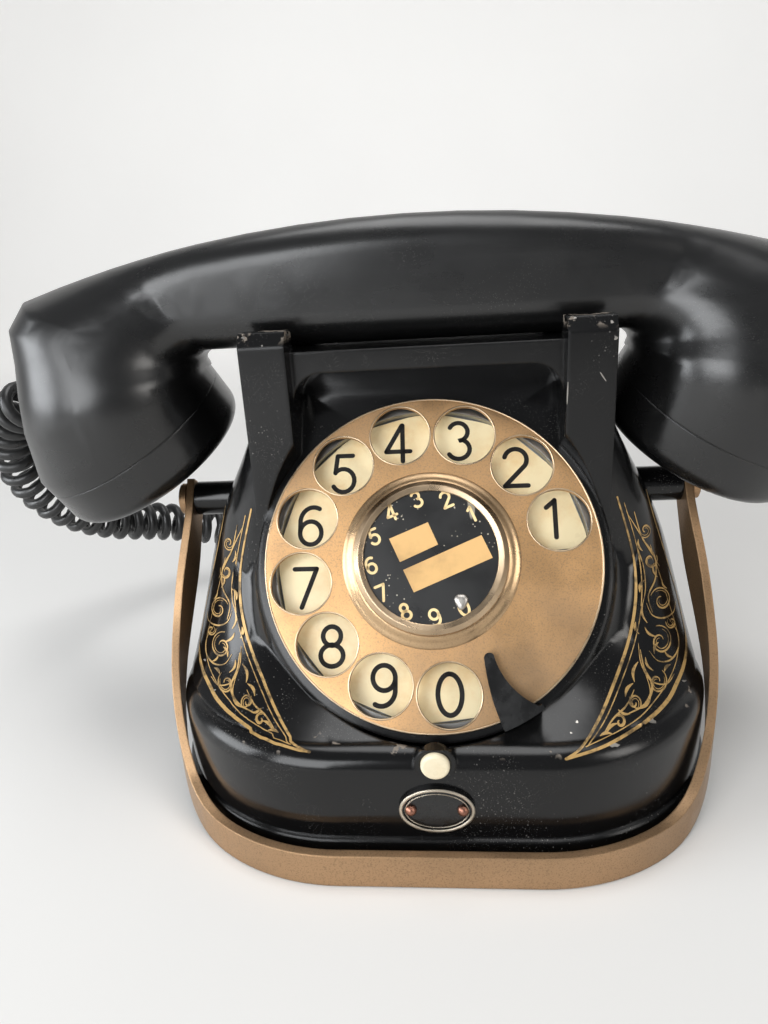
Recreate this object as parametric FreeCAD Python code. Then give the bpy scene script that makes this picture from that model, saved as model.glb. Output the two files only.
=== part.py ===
"""Rotary desk telephone with a carrying strap, as an assembly of its separate pieces.

Millimetres, +X to the right seen from the dial, +Y to the back, +Z up.
The origin lies on the table, under the middle of the telephone.
"""
import FreeCAD, Part
import math
import os

V = FreeCAD.Vector

# Fits between pieces
WALL = 2.0                  # sheet of the case
GAP = 0.3                   # air between pieces that move past each other
FIT = 0.05                  # radial clearance of a shaft in its bore
SLIP = 0.02                 # radial clearance of a piece fixed in a hole

# Case
BASE_HALF_WIDTH = 67.0
BASE_HALF_DEPTH = 62.0
BASE_CORNER = 44.5
RIM_STEP = 1.0              # foot rim stands this far outside the skirt
RIM_BOTTOM = 2.0
RIM_TOP = 8.0
SHOULDER_HEIGHT = 29.0
SHOULDER_STEP = 1.0         # upper case stands this far inside the skirt at its sides
SHOULDER_FRONT = 5.0        # and this far at its front and back
SHOULDER_ROUND = 5.0
SHOULDER_HOLLOW = 1.5       # round of the hollow under the shoulder
CASE_TOP = 108.5            # saddle that the handset lies on
TOP_CORNER = 4.0
SIDE_TOP = 89.0             # the sides taper up to here and stay upright above
SIDE_SWELL = 1.8            # exponents of the taper from the shoulder upward
FRONT_FLARE = 6.0
CORNER_FLARE = 1.6
FLANK_FLAT = 1.0            # half length of the upright flat on each flank
CASE_SECTIONS = 9
SECTION_CROWDING = 1.7
PRONG_OUTER = 42.0
PRONG_INNER = 31.3
PRONG_FRONT = 25.0
PRONG_DEPTH = 9.0
PRONG_TOP = 113.5
PRONG_ROOT = 60.0           # the prongs run down the case to here
REAR_NOTCH = 92.0           # floor of the notch between the rear prongs
PRONG_BEVEL = 3.2
SADDLE_FRONT = 20.0
RECESS_FACE = 9.0
RECESS_TOP = 103.5
RECESS_LOW = 75.0
RECESS_ROUND = 7.0
HEAD_ROOM_LOW = 70.0        # upper hollow, behind the recess
HEAD_ROOM_TOP = CASE_TOP - 3 * WALL
HEAD_ROOM_BACK = 18.0
HEAD_ROOM_SIDE = 35.0
LOWER_HOLLOW_TOP = 73.0

# Base plate, feet and screws
PLATE_THICK = 1.5
PLATE_BOTTOM = 3.0
PLATE_MARGIN = 0.3
FOOT_RADIUS = 6.0
FOOT_X = BASE_HALF_WIDTH - 30.0
FOOT_Y = BASE_HALF_DEPTH - 15.0
BOSS_RADIUS = 4.5
BOSS_TOP = 15.0
BOSS_BITE = 0.5             # the boss runs this far into the wall
BOSS_REACH = BASE_CORNER - WALL - BOSS_RADIUS + BOSS_BITE   # from the centre of the corner round
SCREW_RADIUS = 1.5
SCREW_HEAD_RADIUS = 3.4
SCREW_HEAD_THICK = 1.4
SCREW_LENGTH = 8.0

# Dial
DIAL_BACK = 28.0            # from the front of the skirt to the middle of the dial
DIAL_RISE = 33.0            # from the shoulder to the middle of the dial
DIAL_CENTRE = V(0, DIAL_BACK - BASE_HALF_DEPTH, SHOULDER_HEIGHT + DIAL_RISE)
DIAL_TILT = 31.5            # face looks up by this many degrees
WHEEL_RADIUS = 39.0
WHEEL_THICK = 1.4
WHEEL_EDGE = 0.6
HOLE_RADIUS = 7.2
HOLE_CIRCLE = 30.7
HOLE_COUNT = 10
HOLE_STEP = 28.96
HOLE_FIRST = 15.7
COLLAR_RADIUS = 41.0
COLLAR_FRONT = -2.5
COLLAR_BACK = -26.0
COLLAR_CHAMFER = 0.7
FLARE_RADIUS = 8.5          # hollow round between the collar and the case
WELL_RADIUS = COLLAR_RADIUS + GAP
CUP_RADIUS = 38.3
CUP_FRONT = -3.0
CUP_WALL = 1.5
CUP_LEDGE = -22.5
CUP_FLOOR = 2.0
CUP_STEP = 1.8
LEDGE_RADIUS = 33.0
NUMBER_PLATE_TOP = -5.5
NUMBER_PLATE_THICK = 0.8
SHAFT_RADIUS = 3.0
SHAFT_BACK = -43.0
HUB_RADIUS = 15.8
HUB_HEIGHT = 3.0
CARD_THICK = 0.4
BEZEL_OUTER = 18.0
BEZEL_HEIGHT = 4.4
BEZEL_LIP = 1.6
GEAR_MODULE = 0.8
GEAR_TEETH = 50
PINION_TEETH = 10
GEAR_LOW = -28.0
GEAR_HIGH = -25.5
TOOTH_ROOT_SHARE = 0.27     # half width of a tooth as a share of the pitch
TOOTH_TIP_SHARE = 0.11
TOOTH_HEIGHT = 0.75         # above and below the pitch line, in modules
SPINDLE_RADIUS = 1.2
DRUM_RADIUS = 9.0
DRUM_WALL = 1.0
DRUM_HEIGHT = 6.5
WEIGHT_LENGTH = 13.4
WEIGHT_WIDTH = 4.0
WEIGHT_THICK = 3.0
BARREL_RADIUS = 11.0
BARREL_FRONT = -31.0
BRIDGE_FRONT = -39.0
BRIDGE_THICK = 2.0
BRIDGE_RADIUS = 32.0
WAIST_ANGLES = (210.0, 330.0)
WAIST_REACH = 36.8          # middle of the round bites out of the bridge
WAIST_RADIUS = 17.6
PILLAR_RADIUS = 1.8
PILLAR_CIRCLE = 29.5
PILLAR_ANGLES = (30.0, 150.0, 270.0)
STOP_ANGLE = 298.5
STOP_SPAN = 14.0
STOP_LIFT = 2.2
STOP_THICK = 1.6
STOP_TIP_RADIUS = 24.5
STOP_TIP_SPAN = 5.2
STOP_SHANK = (29.2, 293.4)  # a point on the straight edge and one in the hollow edge
STOP_HOLLOW = (33.9, 300.6)

# Front button and badge
BUTTON_RADIUS = 3.1
BUTTON_HEIGHT = 27.2
BUTTON_PROUD = 1.2
BUTTON_BOSS = 1.3           # black rim round the button
BUTTON_TRAVEL = 2.5
BUTTON_LENGTH = 4.6
BUTTON_FLANGE = 4.3
LEAF_THICK = 0.4
LEAF_HALF = 2.5
LEAF_FOOT = 3.0
BADGE_HALF_WIDTH = 8.2
BADGE_HALF_HEIGHT = 5.8
BADGE_THICK = 0.9
BADGE_RIM = 0.9
BADGE_FIELD = 0.4
BADGE_Z = 16.0
RIVET_RADIUS = 1.0
RIVET_X = 5.6

# Carrying strap
STRAP_WIDTH = 8.0
STRAP_THICK = 2.0
STRAP_FLOOR = 0.3
STRAP_CLEAR = 5.0           # from the skirt to the middle of the sheet in front
STRAP_SPREAD = 9.0
STRAP_TUCK = 1.0
STRAP_HALF = BASE_HALF_WIDTH + STRAP_SPREAD         # where the sides would meet the front
STRAP_FRONT = BASE_HALF_DEPTH + STRAP_CLEAR
STRAP_PIVOT_HALF = BASE_HALF_WIDTH - STRAP_TUCK     # middle of the sheet at the pivots
STRAP_PIVOT_Y = -1.0
STRAP_PIVOT_Z = 68.0
STRAP_TAIL = 4.5            # end of the strap above the pivot
STRAP_KNEE = (-20.0, 38.0)  # side view points, y and z
STRAP_KNEE_ROUND = 70.0
STRAP_HEEL_Y = -50.0
STRAP_HEEL_ROUND = 20.0
STRAP_CORNER = 46.0
STRAP_BEND = 30.0
STUD_RADIUS = 2.0
STUD_HEAD_RADIUS = 4.2
STUD_HEAD_THICK = 1.8
SLOT_HALF = 0.4
SLOT_DEPTH = 0.7
LUG_RADIUS = 4.6
LUG_ROOT = 48.0
STUD_DEPTH = 9.0

# Handset
HANDLE_LOW = CASE_TOP + GAP
HANDLE_HIGH = 137.5
HANDLE_ARCH = 0.00151       # drop of the top per square millimetre from the middle
HANDLE_HALF_DEPTH = 14.0
HANDLE_ROUND = 8.0
HANDLE_STATIONS = (0.0, 12.5, 25.0, 37.5)
HANDSET_END = 102.0         # distance from the middle to either end
CASE_SHIFT = V(4.0, 0, 0)   # the case stands this far to the right of the handset's middle
END_BLEND = 2.2             # softness of the corner between top and end
ELBOW = V(50.0, 0, 105.0)   # the sections of an end fan out from here
ELBOW_ANGLES = (0.0, 16.0, 30.0, 42.0, 52.0, 61.0, 69.0, 77.0, 86.0, 96.0, 106.0)
ELBOW_SWELL = 25.0          # the handle starts to widen into the cup here
ELBOW_ROUND = 75.0          # and is as round as it can be from here
CAP_TILT = 25.6
CAP_ROLL = 18.0             # the faces look a little to the back
CAP_RADIUS = 27.5
CAP_THICK = 12.5
CAP_ROUND = 5.0
CAP_WALL = 3.0
CAP_FACE_X = 72.5
CAP_FACE_Y = 6.0
CAP_FACE_Z = 77.5
CUP_STRAIGHT = 4.0
CAPSULE_RADIUS = 22.0
CAPSULE_THICK = 12.0
CAPSULE_ROOM = 3.5          # space above a capsule for its leads
EAR_HOLE_RADIUS = 1.6
EAR_HOLE_CIRCLE = 8.0
EAR_HOLES = 6
BUSH_RADIUS = 4.2
BUSH_LENGTH = 12.0
BUSH_POINT = V(-99.0, 9.0, 95.0)
BUSH_ANGLE = 155.0          # direction in plan, from +X

# Cradle plungers and hook switch
PLUNGER_RADIUS = 2.5
PLUNGER_X = 18.0
PLUNGER_Y = 8.0
PLUNGER_FOOT = 92.0
BRIDGE_BAR_THICK = 3.0
BRIDGE_BAR_HALF_DEPTH = 3.0
HOOK_BRACKET_Y = 15.0
HOOK_BRACKET_LOW = 76.0
HOOK_BRACKET_HALF = 16.0
HOOK_BRACKET_THICK = 1.5
CONTACT_COUNT = 5
CONTACT_STEP = 2.4
CONTACT_LENGTH = 20.0
CONTACT_THICK = 0.5
CLAMP_HALF = 4.0
CLAMP_DEPTH = 2.5

# Ringer
RINGER_Y = 10.0
RINGER_HALF_X = 15.0
RINGER_HALF_Y = 7.5
RINGER_PLATE = 2.0
COIL_RADIUS = 6.3
COIL_X = 8.0
COIL_HEIGHT = 17.0
CORE_RADIUS = 2.4
CORE_PROUD = 1.5
ARMATURE_AIR = 1.0
ARMATURE_THICK = 2.4
ARMATURE_HALF_X = 13.0
ARMATURE_HALF_Y = 2.5
EAR_THICK = 1.6
EAR_GAP = 0.6
PIVOT_RADIUS = 1.0
ARM_RADIUS = 0.9
ARM_RISE = 4.6
BALL_RADIUS = 2.2
BALL_DROP = 14.0
GONG_RADIUS = 19.6
GONG_HEIGHT = 11.0
GONG_SHEET = 1.2
GONG_RIM_Z = 9.5
GONG_Y = 34.0
GONG_AIR = 1.4              # from the ball to a gong
POST_RADIUS = 3.0

# Electrical pieces on the base plate
CAPACITOR_BOX = (13.0 - BASE_HALF_WIDTH, 35.0 - BASE_HALF_WIDTH, -18.0, 12.0, 17.0)
CAPACITOR_ROUND = 3.0
TAG_WIDTH = 3.0
TAG_HALF = 0.4
TAG_INSET = 4.0
COIL_BOX = (BASE_HALF_WIDTH - 37.0, BASE_HALF_WIDTH - 13.0, -16.0, 10.0, 16.0)
CHEEK_THICK = 1.5
CORE_HALF = 4.0
TERMINAL_BOX = (-15.0, 15.0, -16.0, -5.0, 5.0)
TERMINAL_SCREWS = 4

# Back grommets
GROMMET_RADIUS = 4.6
GROMMET_FLANGE = 6.2
CORD_INLET_X = -16.0
LINE_INLET_X = 16.0
INLET_Z = 16.0
INLET_END = STRAP_FRONT + STRAP_THICK / 2
LINE_BORE = 2.6

# Curly handset cord
WIRE_RADIUS = 1.8
CURL_RADIUS = 6.0
CURL_PITCH = 6.2
WIRE_SIDES = 6
TAIL_LENGTH = 4.0
CORD_POINTS = (
    V(-133.0, 26.0, 86.0),
    V(-139.0, 36.0, 68.0),
    V(-136.0, 49.0, 51.0),
    V(-128.0, 66.0, 39.0),
    V(-114.0, 83.0, 32.0),
    V(-96.0, 97.0, 24.0),
    V(-75.0, 106.0, 15.5),
    V(-53.0, 109.0, 10.5),
    V(-33.0, 104.0, 12.0),
    V(-20.0, 91.0, 15.0),
)
CORD_LEAD = 11.0            # straight runs at the two ends


# Small builders

def rounded_rect(half_x, half_y, corner, height):
    """Closed wire of four arcs and four lines in the plane z = height."""
    corners = []
    for quarter, (side_x, side_y) in enumerate(((1, -1), (1, 1), (-1, 1), (-1, -1))):
        centre = V(side_x * (half_x - corner), side_y * (half_y - corner), height)
        angles = [math.radians(90 * quarter + turn) for turn in (-90, -45, 0)]
        corners.append([centre + V(math.cos(a), math.sin(a), 0) * corner for a in angles])
    edges = []
    for index, points in enumerate(corners):
        following = corners[(index + 1) % len(corners)]
        edges.append(Part.Arc(*points).toShape())
        edges.append(Part.LineSegment(points[2], following[0]).toShape())
    return Part.Wire(edges)


def oval_rect(half_x, half_y, corner_x, corner_y, height):
    """Closed wire like rounded_rect, with corners that are quarters of an ellipse."""
    wide = corner_x >= corner_y
    across = V(1, 0, 0) if wide else V(0, 1, 0)
    edges = []
    ends = []
    for quarter, (side_x, side_y) in enumerate(((1, -1), (1, 1), (-1, 1), (-1, -1))):
        centre = V(side_x * (half_x - corner_x), side_y * (half_y - corner_y), height)
        curve = Part.Ellipse(centre, max(corner_x, corner_y), min(corner_x, corner_y))
        curve.XAxis = across
        first = math.radians(90 * (quarter - 1) - (0 if wide else 90))
        arc = Part.ArcOfEllipse(curve, first, first + math.pi / 2)
        edges.append(arc.toShape())
        ends.append((arc.StartPoint, arc.EndPoint))
    sides = []
    for index, edge in enumerate(edges):
        following = ends[(index + 1) % len(ends)][0]
        sides += [edge, Part.LineSegment(ends[index][1], following).toShape()]
    return Part.Wire(sides)


def slab(half_x, half_y, corner, low, high):
    return Part.Face(rounded_rect(half_x, half_y, corner, low)).extrude(V(0, 0, high - low))


def box(x0, x1, y0, y1, z0, z1):
    return Part.makeBox(x1 - x0, y1 - y0, z1 - z0, V(x0, y0, z0))


def rod(radius, start, end):
    return Part.makeCylinder(radius, (end - start).Length, start, end - start)


def pipe(outer, inner, start, end):
    return rod(outer, start, end).cut(rod(inner, start, end))


def disc(radius, low, high, x=0.0, y=0.0):
    return rod(radius, V(x, y, low), V(x, y, high))


def ring(outer, inner, low, high, x=0.0, y=0.0):
    return pipe(outer, inner, V(x, y, low), V(x, y, high))


def polygon(points):
    return Part.Face(Part.makePolygon(list(points) + [points[0]]))


def fused(shapes):
    whole = shapes[0]
    if len(shapes) > 1:
        whole = whole.fuse(shapes[1:])
    return whole.removeSplitter()


def mirrored_x(shape):
    return shape.mirror(V(0, 0, 0), V(1, 0, 0))


def on_dial(shape):
    """Move a shape from dial axes (z outward, y up the face) to the telephone."""
    place = FreeCAD.Placement(DIAL_CENTRE, FreeCAD.Rotation(V(1, 0, 0), 90.0 - DIAL_TILT))
    moved = shape.copy()
    moved.Placement = place.multiply(moved.Placement)
    return moved


def polar(radius, degrees, height=0.0):
    angle = math.radians(degrees)
    return V(radius * math.cos(angle), radius * math.sin(angle), height)


def offset_line(points, amount):
    """Points of a flat open line moved sideways by amount, with mitred corners."""
    moved = []
    for index, point in enumerate(points):
        before = points[max(index - 1, 0)]
        after = points[min(index + 1, len(points) - 1)]
        normals = []
        for first, second in ((before, point), (point, after)):
            if (second - first).Length > 0:
                run = (second - first).normalize()
                normals.append(V(-run.y, run.x, 0))
        side = normals[0]
        if len(normals) > 1:
            total = normals[0] + normals[1]
            side = total * (2.0 / total.dot(total))
        moved.append(point + side * amount)
    return moved


def rounded_line(points, radii):
    """Edges of an open line with an arc of its own radius at each inner point."""
    edges = []
    start = points[0]
    for index, radius in enumerate(radii, 1):
        corner = points[index]
        back = (points[index - 1] - corner).normalize()
        ahead = (points[index + 1] - corner).normalize()
        half = back.getAngle(ahead) / 2
        reach = radius / math.tan(half)
        middle = (back + ahead).normalize()
        first = corner + back * reach
        last = corner + ahead * reach
        crown = corner + middle * (radius / math.sin(half) - radius)
        edges.append(Part.LineSegment(start, first).toShape())
        edges.append(Part.Arc(first, crown, last).toShape())
        start = last
    edges.append(Part.LineSegment(start, points[-1]).toShape())
    return edges


def turn_side(points, index):
    """1 where the line turns to its left at a point, else -1."""
    run = points[index] - points[index - 1]
    following = points[index + 1] - points[index]
    return 1 if run.x * following.y - run.y * following.x > 0 else -1


def band(points, radii, width):
    """Flat face of even width along an open line in the xy plane."""
    sides = []
    for amount in (width / 2, -width / 2):
        moved = offset_line(points, amount)
        shifted = [r - amount * turn_side(points, k) for k, r in enumerate(radii, 1)]
        sides.append((moved, rounded_line(moved, shifted)))
    (left, left_edges), (right, right_edges) = sides
    ends = [Part.LineSegment(left[0], right[0]).toShape(), Part.LineSegment(left[-1], right[-1]).toShape()]
    return Part.Face(Part.Wire(Part.__sortEdges__(left_edges + right_edges + ends)))


# Case

def case_outline(height, inset=0.0):
    """Rounded outline of the upper case at a height between shoulder and saddle."""
    rest = max(0.0, (CASE_TOP - height) / (CASE_TOP - SHOULDER_HEIGHT))
    side_rest = max(0.0, (SIDE_TOP - height) / (SIDE_TOP - SHOULDER_HEIGHT))
    wide = BASE_HALF_WIDTH - SHOULDER_STEP - PRONG_OUTER
    deep = BASE_HALF_DEPTH - SHOULDER_FRONT - PRONG_FRONT
    corner = TOP_CORNER + (BASE_CORNER - SHOULDER_STEP - TOP_CORNER) * rest ** CORNER_FLARE - inset
    half_x = PRONG_OUTER + wide * (1 - (1 - side_rest) ** SIDE_SWELL) - inset
    half_y = PRONG_FRONT + deep * rest ** FRONT_FLARE - inset
    return half_x, half_y, corner, min(corner, half_y - FLANK_FLAT)


def case_heights(low, high):
    """Heights that lie closer together near the shoulder, where the case flares."""
    shares = [(index / (CASE_SECTIONS - 1)) ** SECTION_CROWDING for index in range(CASE_SECTIONS)]
    return [low + (high - low) * share for share in shares]


def case_solid():
    skirt = slab(BASE_HALF_WIDTH, BASE_HALF_DEPTH, BASE_CORNER, RIM_BOTTOM, SHOULDER_HEIGHT)
    shoulder = [e for e in skirt.Edges if e.BoundBox.ZMin > SHOULDER_HEIGHT - GAP]
    skirt = skirt.makeFillet(SHOULDER_ROUND, shoulder)
    rim = slab(
        BASE_HALF_WIDTH + RIM_STEP, BASE_HALF_DEPTH + RIM_STEP, BASE_CORNER + RIM_STEP,
        RIM_BOTTOM, RIM_TOP)
    rim_edges = [e for e in rim.Edges if e.BoundBox.ZMin > RIM_TOP - GAP]
    rim = rim.makeFillet(RIM_STEP * 0.9, rim_edges)
    heights = case_heights(SHOULDER_HEIGHT, CASE_TOP)
    wires = [oval_rect(*case_outline(h), h) for h in heights]
    upper = Part.makeLoft(wires, True, False)
    stub_height = SHOULDER_ROUND * 2
    stub = Part.Face(oval_rect(*case_outline(SHOULDER_HEIGHT), SHOULDER_HEIGHT - stub_height))
    stub = stub.extrude(V(0, 0, stub_height))
    front = V(0, -BASE_HALF_DEPTH, BUTTON_HEIGHT)
    boss = rod(BUTTON_RADIUS + BUTTON_BOSS, front, front + V(0, SHOULDER_ROUND * 2, 0))
    return skirt.fuse([rim, stub, upper, boss])


def case_hollow():
    low = SHOULDER_HEIGHT - WALL
    skirt = slab(BASE_HALF_WIDTH - WALL, BASE_HALF_DEPTH - WALL, BASE_CORNER - WALL, 0, low)
    ceiling = [e for e in skirt.Edges if e.BoundBox.ZMin > low - GAP]
    skirt = skirt.makeFillet(SHOULDER_HOLLOW, ceiling)
    heights = case_heights(low, LOWER_HOLLOW_TOP)
    wires = [oval_rect(*case_outline(h + WALL, WALL), h) for h in heights]
    lower = Part.makeLoft(wires, True, False)
    front = WALL - RECESS_FACE
    head = box(-HEAD_ROOM_SIDE, HEAD_ROOM_SIDE, front, HEAD_ROOM_BACK, HEAD_ROOM_LOW, HEAD_ROOM_TOP)
    return skirt.fuse([lower, head])


def prongs():
    shapes = []
    for side_x in (-1, 1):
        for side_y in (-1, 1):
            front = side_y * PRONG_FRONT
            back = side_y * (PRONG_FRONT - PRONG_DEPTH)
            x = PRONG_INNER if side_x > 0 else -PRONG_OUTER
            points = [
                V(x, front, PRONG_ROOT),
                V(x, front, PRONG_TOP - PRONG_BEVEL),
                V(x, front - side_y * PRONG_BEVEL * 0.7, PRONG_TOP),
                V(x, back + side_y, PRONG_TOP),
                V(x, back, PRONG_TOP - 1),
                V(x, back, PRONG_ROOT),
            ]
            shapes.append(polygon(points).extrude(V(PRONG_OUTER - PRONG_INNER, 0, 0)))
    return shapes


def recess():
    """Space between the front prongs, behind and above the dial."""
    deep = box(-PRONG_INNER, PRONG_INNER, -BASE_HALF_DEPTH, -RECESS_FACE, RECESS_LOW, RECESS_TOP)
    top = [e for e in deep.Edges if e.BoundBox.XLength < GAP and e.BoundBox.ZMin > RECESS_TOP - GAP]
    deep = deep.makeFillet(RECESS_ROUND, top)
    half = COLLAR_RADIUS * 2
    panel = on_dial(box(-half, half, -half, half, COLLAR_BACK, COLLAR_FRONT))
    far = SADDLE_FRONT + BASE_HALF_DEPTH
    shallow = box(-PRONG_INNER, PRONG_INNER, -far, -SADDLE_FRONT, RECESS_LOW, PRONG_TOP * 2)
    rear = box(-PRONG_INNER, PRONG_INNER, SADDLE_FRONT, far, REAR_NOTCH, PRONG_TOP * 2)
    return [deep.cut(panel), shallow.cut(panel), rear]


def dial_flare():
    """Collar of the dial with a hollow round that runs out into the case."""
    edge = COLLAR_RADIUS + COLLAR_CHAMFER
    top = COLLAR_FRONT - COLLAR_CHAMFER
    foot = V(edge + FLARE_RADIUS, 0, top - FLARE_RADIUS)
    middle = FLARE_RADIUS * (1 - math.sqrt(0.5))
    bend = V(edge + middle, 0, top - FLARE_RADIUS + middle)
    rim = V(edge, 0, top)
    front = [V(COLLAR_RADIUS, 0, COLLAR_FRONT), V(LEDGE_RADIUS, 0, COLLAR_FRONT)]
    points = [rim] + front + [V(LEDGE_RADIUS, 0, foot.z), foot]
    edges = [Part.LineSegment(a, b).toShape() for a, b in zip(points, points[1:])]
    edges.append(Part.Arc(foot, bend, rim).toShape())
    profile = Part.Face(Part.Wire(edges))
    return on_dial(profile.revolve(V(0, 0, 0), V(0, 0, 1), 360))


def boss_points():
    reach = BOSS_REACH * math.sqrt(0.5)
    x = BASE_HALF_WIDTH - BASE_CORNER + reach
    y = BASE_HALF_DEPTH - BASE_CORNER + reach
    return [(sx * x, sy * y) for sx in (-1, 1) for sy in (-1, 1)]


def make_case():
    shell = case_solid().fuse(prongs() + [dial_flare()]).cut(case_hollow())
    added = [on_dial(ring(COLLAR_RADIUS, LEDGE_RADIUS, COLLAR_BACK, COLLAR_FRONT))]
    added += [disc(BOSS_RADIUS, floor_top(), BOSS_TOP, x, y) for x, y in boss_points()]
    lug_end = STRAP_PIVOT_HALF - STRAP_THICK / 2 - GAP
    pivot = V(0, STRAP_PIVOT_Y, STRAP_PIVOT_Z)
    lugs = [rod(LUG_RADIUS, pivot + V(s * LUG_ROOT, 0, 0), pivot + V(s * lug_end, 0, 0)) for s in (-1, 1)]
    shell = shell.cut(recess())
    shell = shell.fuse(added + lugs)
    cuts = [
        on_dial(disc(CUP_RADIUS + SLIP, CUP_LEDGE, BASE_HALF_DEPTH)),
        on_dial(disc(LEDGE_RADIUS, COLLAR_BACK - WALL * 2, CUP_LEDGE)),
        on_dial(disc(WELL_RADIUS, COLLAR_FRONT, BASE_HALF_DEPTH)),
    ]
    cuts += [disc(SCREW_RADIUS + SLIP, 0, PLATE_BOTTOM + SCREW_LENGTH, x, y) for x, y in boss_points()]
    for side in (-1, 1):
        deep = lug_end - STUD_DEPTH
        bore_end = pivot + V(side * (lug_end + 1), 0, 0)
        cuts.append(rod(STUD_RADIUS + SLIP, pivot + V(side * deep, 0, 0), bore_end))
        x = side * PLUNGER_X
        cuts.append(disc(PLUNGER_RADIUS + FIT, CASE_TOP - WALL * 4, CASE_TOP + 1, x, PLUNGER_Y))
    front = -BASE_HALF_DEPTH
    reach = front - BUTTON_PROUD + BUTTON_LENGTH + BUTTON_TRAVEL + GAP
    cuts.append(rod(BUTTON_RADIUS + FIT, V(0, front - 1, BUTTON_HEIGHT), V(0, reach, BUTTON_HEIGHT)))
    for x in (-RIVET_X, RIVET_X):
        cuts.append(rod(RIVET_RADIUS + SLIP, V(x, front - 1, BADGE_Z), V(x, front + WALL + 1, BADGE_Z)))
    for x in (CORD_INLET_X, LINE_INLET_X):
        cuts.append(rod(GROMMET_RADIUS, V(x, -front - WALL - 1, INLET_Z), V(x, 2 - front, INLET_Z)))
    return shell.cut(cuts).removeSplitter()


def make_base_plate():
    inset = WALL + PLATE_MARGIN
    plate = slab(
        BASE_HALF_WIDTH - inset, BASE_HALF_DEPTH - inset, BASE_CORNER - inset,
        PLATE_BOTTOM, PLATE_BOTTOM + PLATE_THICK)
    holes = [disc(SCREW_RADIUS + SLIP, 0, BOSS_TOP, x, y) for x, y in boss_points()]
    return plate.cut(holes)


def make_plate_screws():
    screws = []
    for x, y in boss_points():
        head = disc(SCREW_HEAD_RADIUS, PLATE_BOTTOM - SCREW_HEAD_THICK, PLATE_BOTTOM, x, y)
        shank = disc(SCREW_RADIUS, PLATE_BOTTOM - SCREW_HEAD_THICK / 2, PLATE_BOTTOM + SCREW_LENGTH, x, y)
        screws.append(fused([head, shank]))
    return Part.makeCompound(screws)


def make_feet():
    feet = []
    for side_x in (-1, 1):
        for side_y in (-1, 1):
            foot = Part.makeCone(
                FOOT_RADIUS - 1, FOOT_RADIUS, PLATE_BOTTOM, V(side_x * FOOT_X, side_y * FOOT_Y, 0))
            feet.append(foot)
    return Part.makeCompound(feet)


# Dial

def make_dial_cup():
    """Cup with a ledge for the number plate and a floor that carries the shaft."""
    outer = disc(CUP_RADIUS, CUP_LEDGE, CUP_FRONT)
    seat = NUMBER_PLATE_TOP - NUMBER_PLATE_THICK
    mouth = disc(CUP_RADIUS - CUP_WALL, seat, CUP_FRONT + 1)
    hollow = disc(CUP_RADIUS - CUP_WALL - CUP_STEP, CUP_LEDGE + CUP_FLOOR, seat + 1)
    bore = disc(SHAFT_RADIUS + FIT, CUP_LEDGE - 1, CUP_FRONT)
    spindle = polar(gear_distance(), 90)
    bearing = disc(SPINDLE_RADIUS + FIT, CUP_LEDGE - 1, CUP_FRONT, spindle.x, spindle.y)
    return on_dial(outer.cut([mouth, hollow, bore, bearing]))


def make_number_plate():
    radius = CUP_RADIUS - CUP_WALL - SLIP
    seat = NUMBER_PLATE_TOP - NUMBER_PLATE_THICK
    plate = ring(radius, SHAFT_RADIUS + 1, seat, NUMBER_PLATE_TOP)
    return on_dial(plate)


def hole_angles():
    return [HOLE_FIRST + HOLE_STEP * index for index in range(HOLE_COUNT)]


def make_finger_wheel():
    wheel = disc(WHEEL_RADIUS, -WHEEL_THICK, 0)
    wheel = wheel.makeFillet(WHEEL_EDGE, [wheel.Edges[0], wheel.Edges[2]])
    cuts = [disc(SHAFT_RADIUS + SLIP, -WHEEL_THICK - 1, 1)]
    for angle in hole_angles():
        centre = polar(HOLE_CIRCLE, angle)
        cuts.append(disc(HOLE_RADIUS, -WHEEL_THICK - 1, 1, centre.x, centre.y))
    return on_dial(wheel.cut(cuts))


def make_centre_hub():
    return on_dial(ring(HUB_RADIUS, SHAFT_RADIUS + SLIP, 0, HUB_HEIGHT))


def make_label_card():
    return on_dial(disc(HUB_RADIUS, HUB_HEIGHT, HUB_HEIGHT + CARD_THICK))


def make_centre_bezel():
    inner = HUB_RADIUS + SLIP
    lip = HUB_RADIUS - BEZEL_LIP + 1
    low = HUB_HEIGHT + CARD_THICK
    profile = [
        V(inner, 0, 0),
        V(BEZEL_OUTER, 0, 0),
        V(BEZEL_OUTER - 0.4, 0, BEZEL_HEIGHT - 1),
        V(inner + 0.6, 0, BEZEL_HEIGHT),
        V(lip, 0, BEZEL_HEIGHT - 0.4),
        V(lip, 0, low),
        V(inner, 0, low),
    ]
    return on_dial(polygon(profile).revolve(V(0, 0, 0), V(0, 0, 1), 360))


def make_dial_shaft():
    return on_dial(disc(SHAFT_RADIUS, SHAFT_BACK, HUB_HEIGHT))


def gear_distance():
    return GEAR_MODULE * (GEAR_TEETH + PINION_TEETH) / 2


def gear(teeth, first_angle, low, high):
    """Spur gear with straight-sided teeth."""
    pitch = 360.0 / teeth
    radius = GEAR_MODULE * teeth / 2
    root = radius - TOOTH_HEIGHT * GEAR_MODULE * 1.3
    tip = radius + TOOTH_HEIGHT * GEAR_MODULE
    points = []
    for index in range(teeth):
        middle = first_angle + index * pitch
        for reach, share in (
                (root, -TOOTH_ROOT_SHARE), (tip, -TOOTH_TIP_SHARE),
                (tip, TOOTH_TIP_SHARE), (root, TOOTH_ROOT_SHARE)):
            points.append(polar(reach, middle + share * pitch, low))
    return polygon(points).extrude(V(0, 0, high - low))


def make_main_gear():
    wheel = gear(GEAR_TEETH, 90.0, GEAR_LOW, GEAR_HIGH)
    return on_dial(wheel.cut(disc(SHAFT_RADIUS + SLIP, GEAR_LOW - 1, GEAR_HIGH + 1)))


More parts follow.
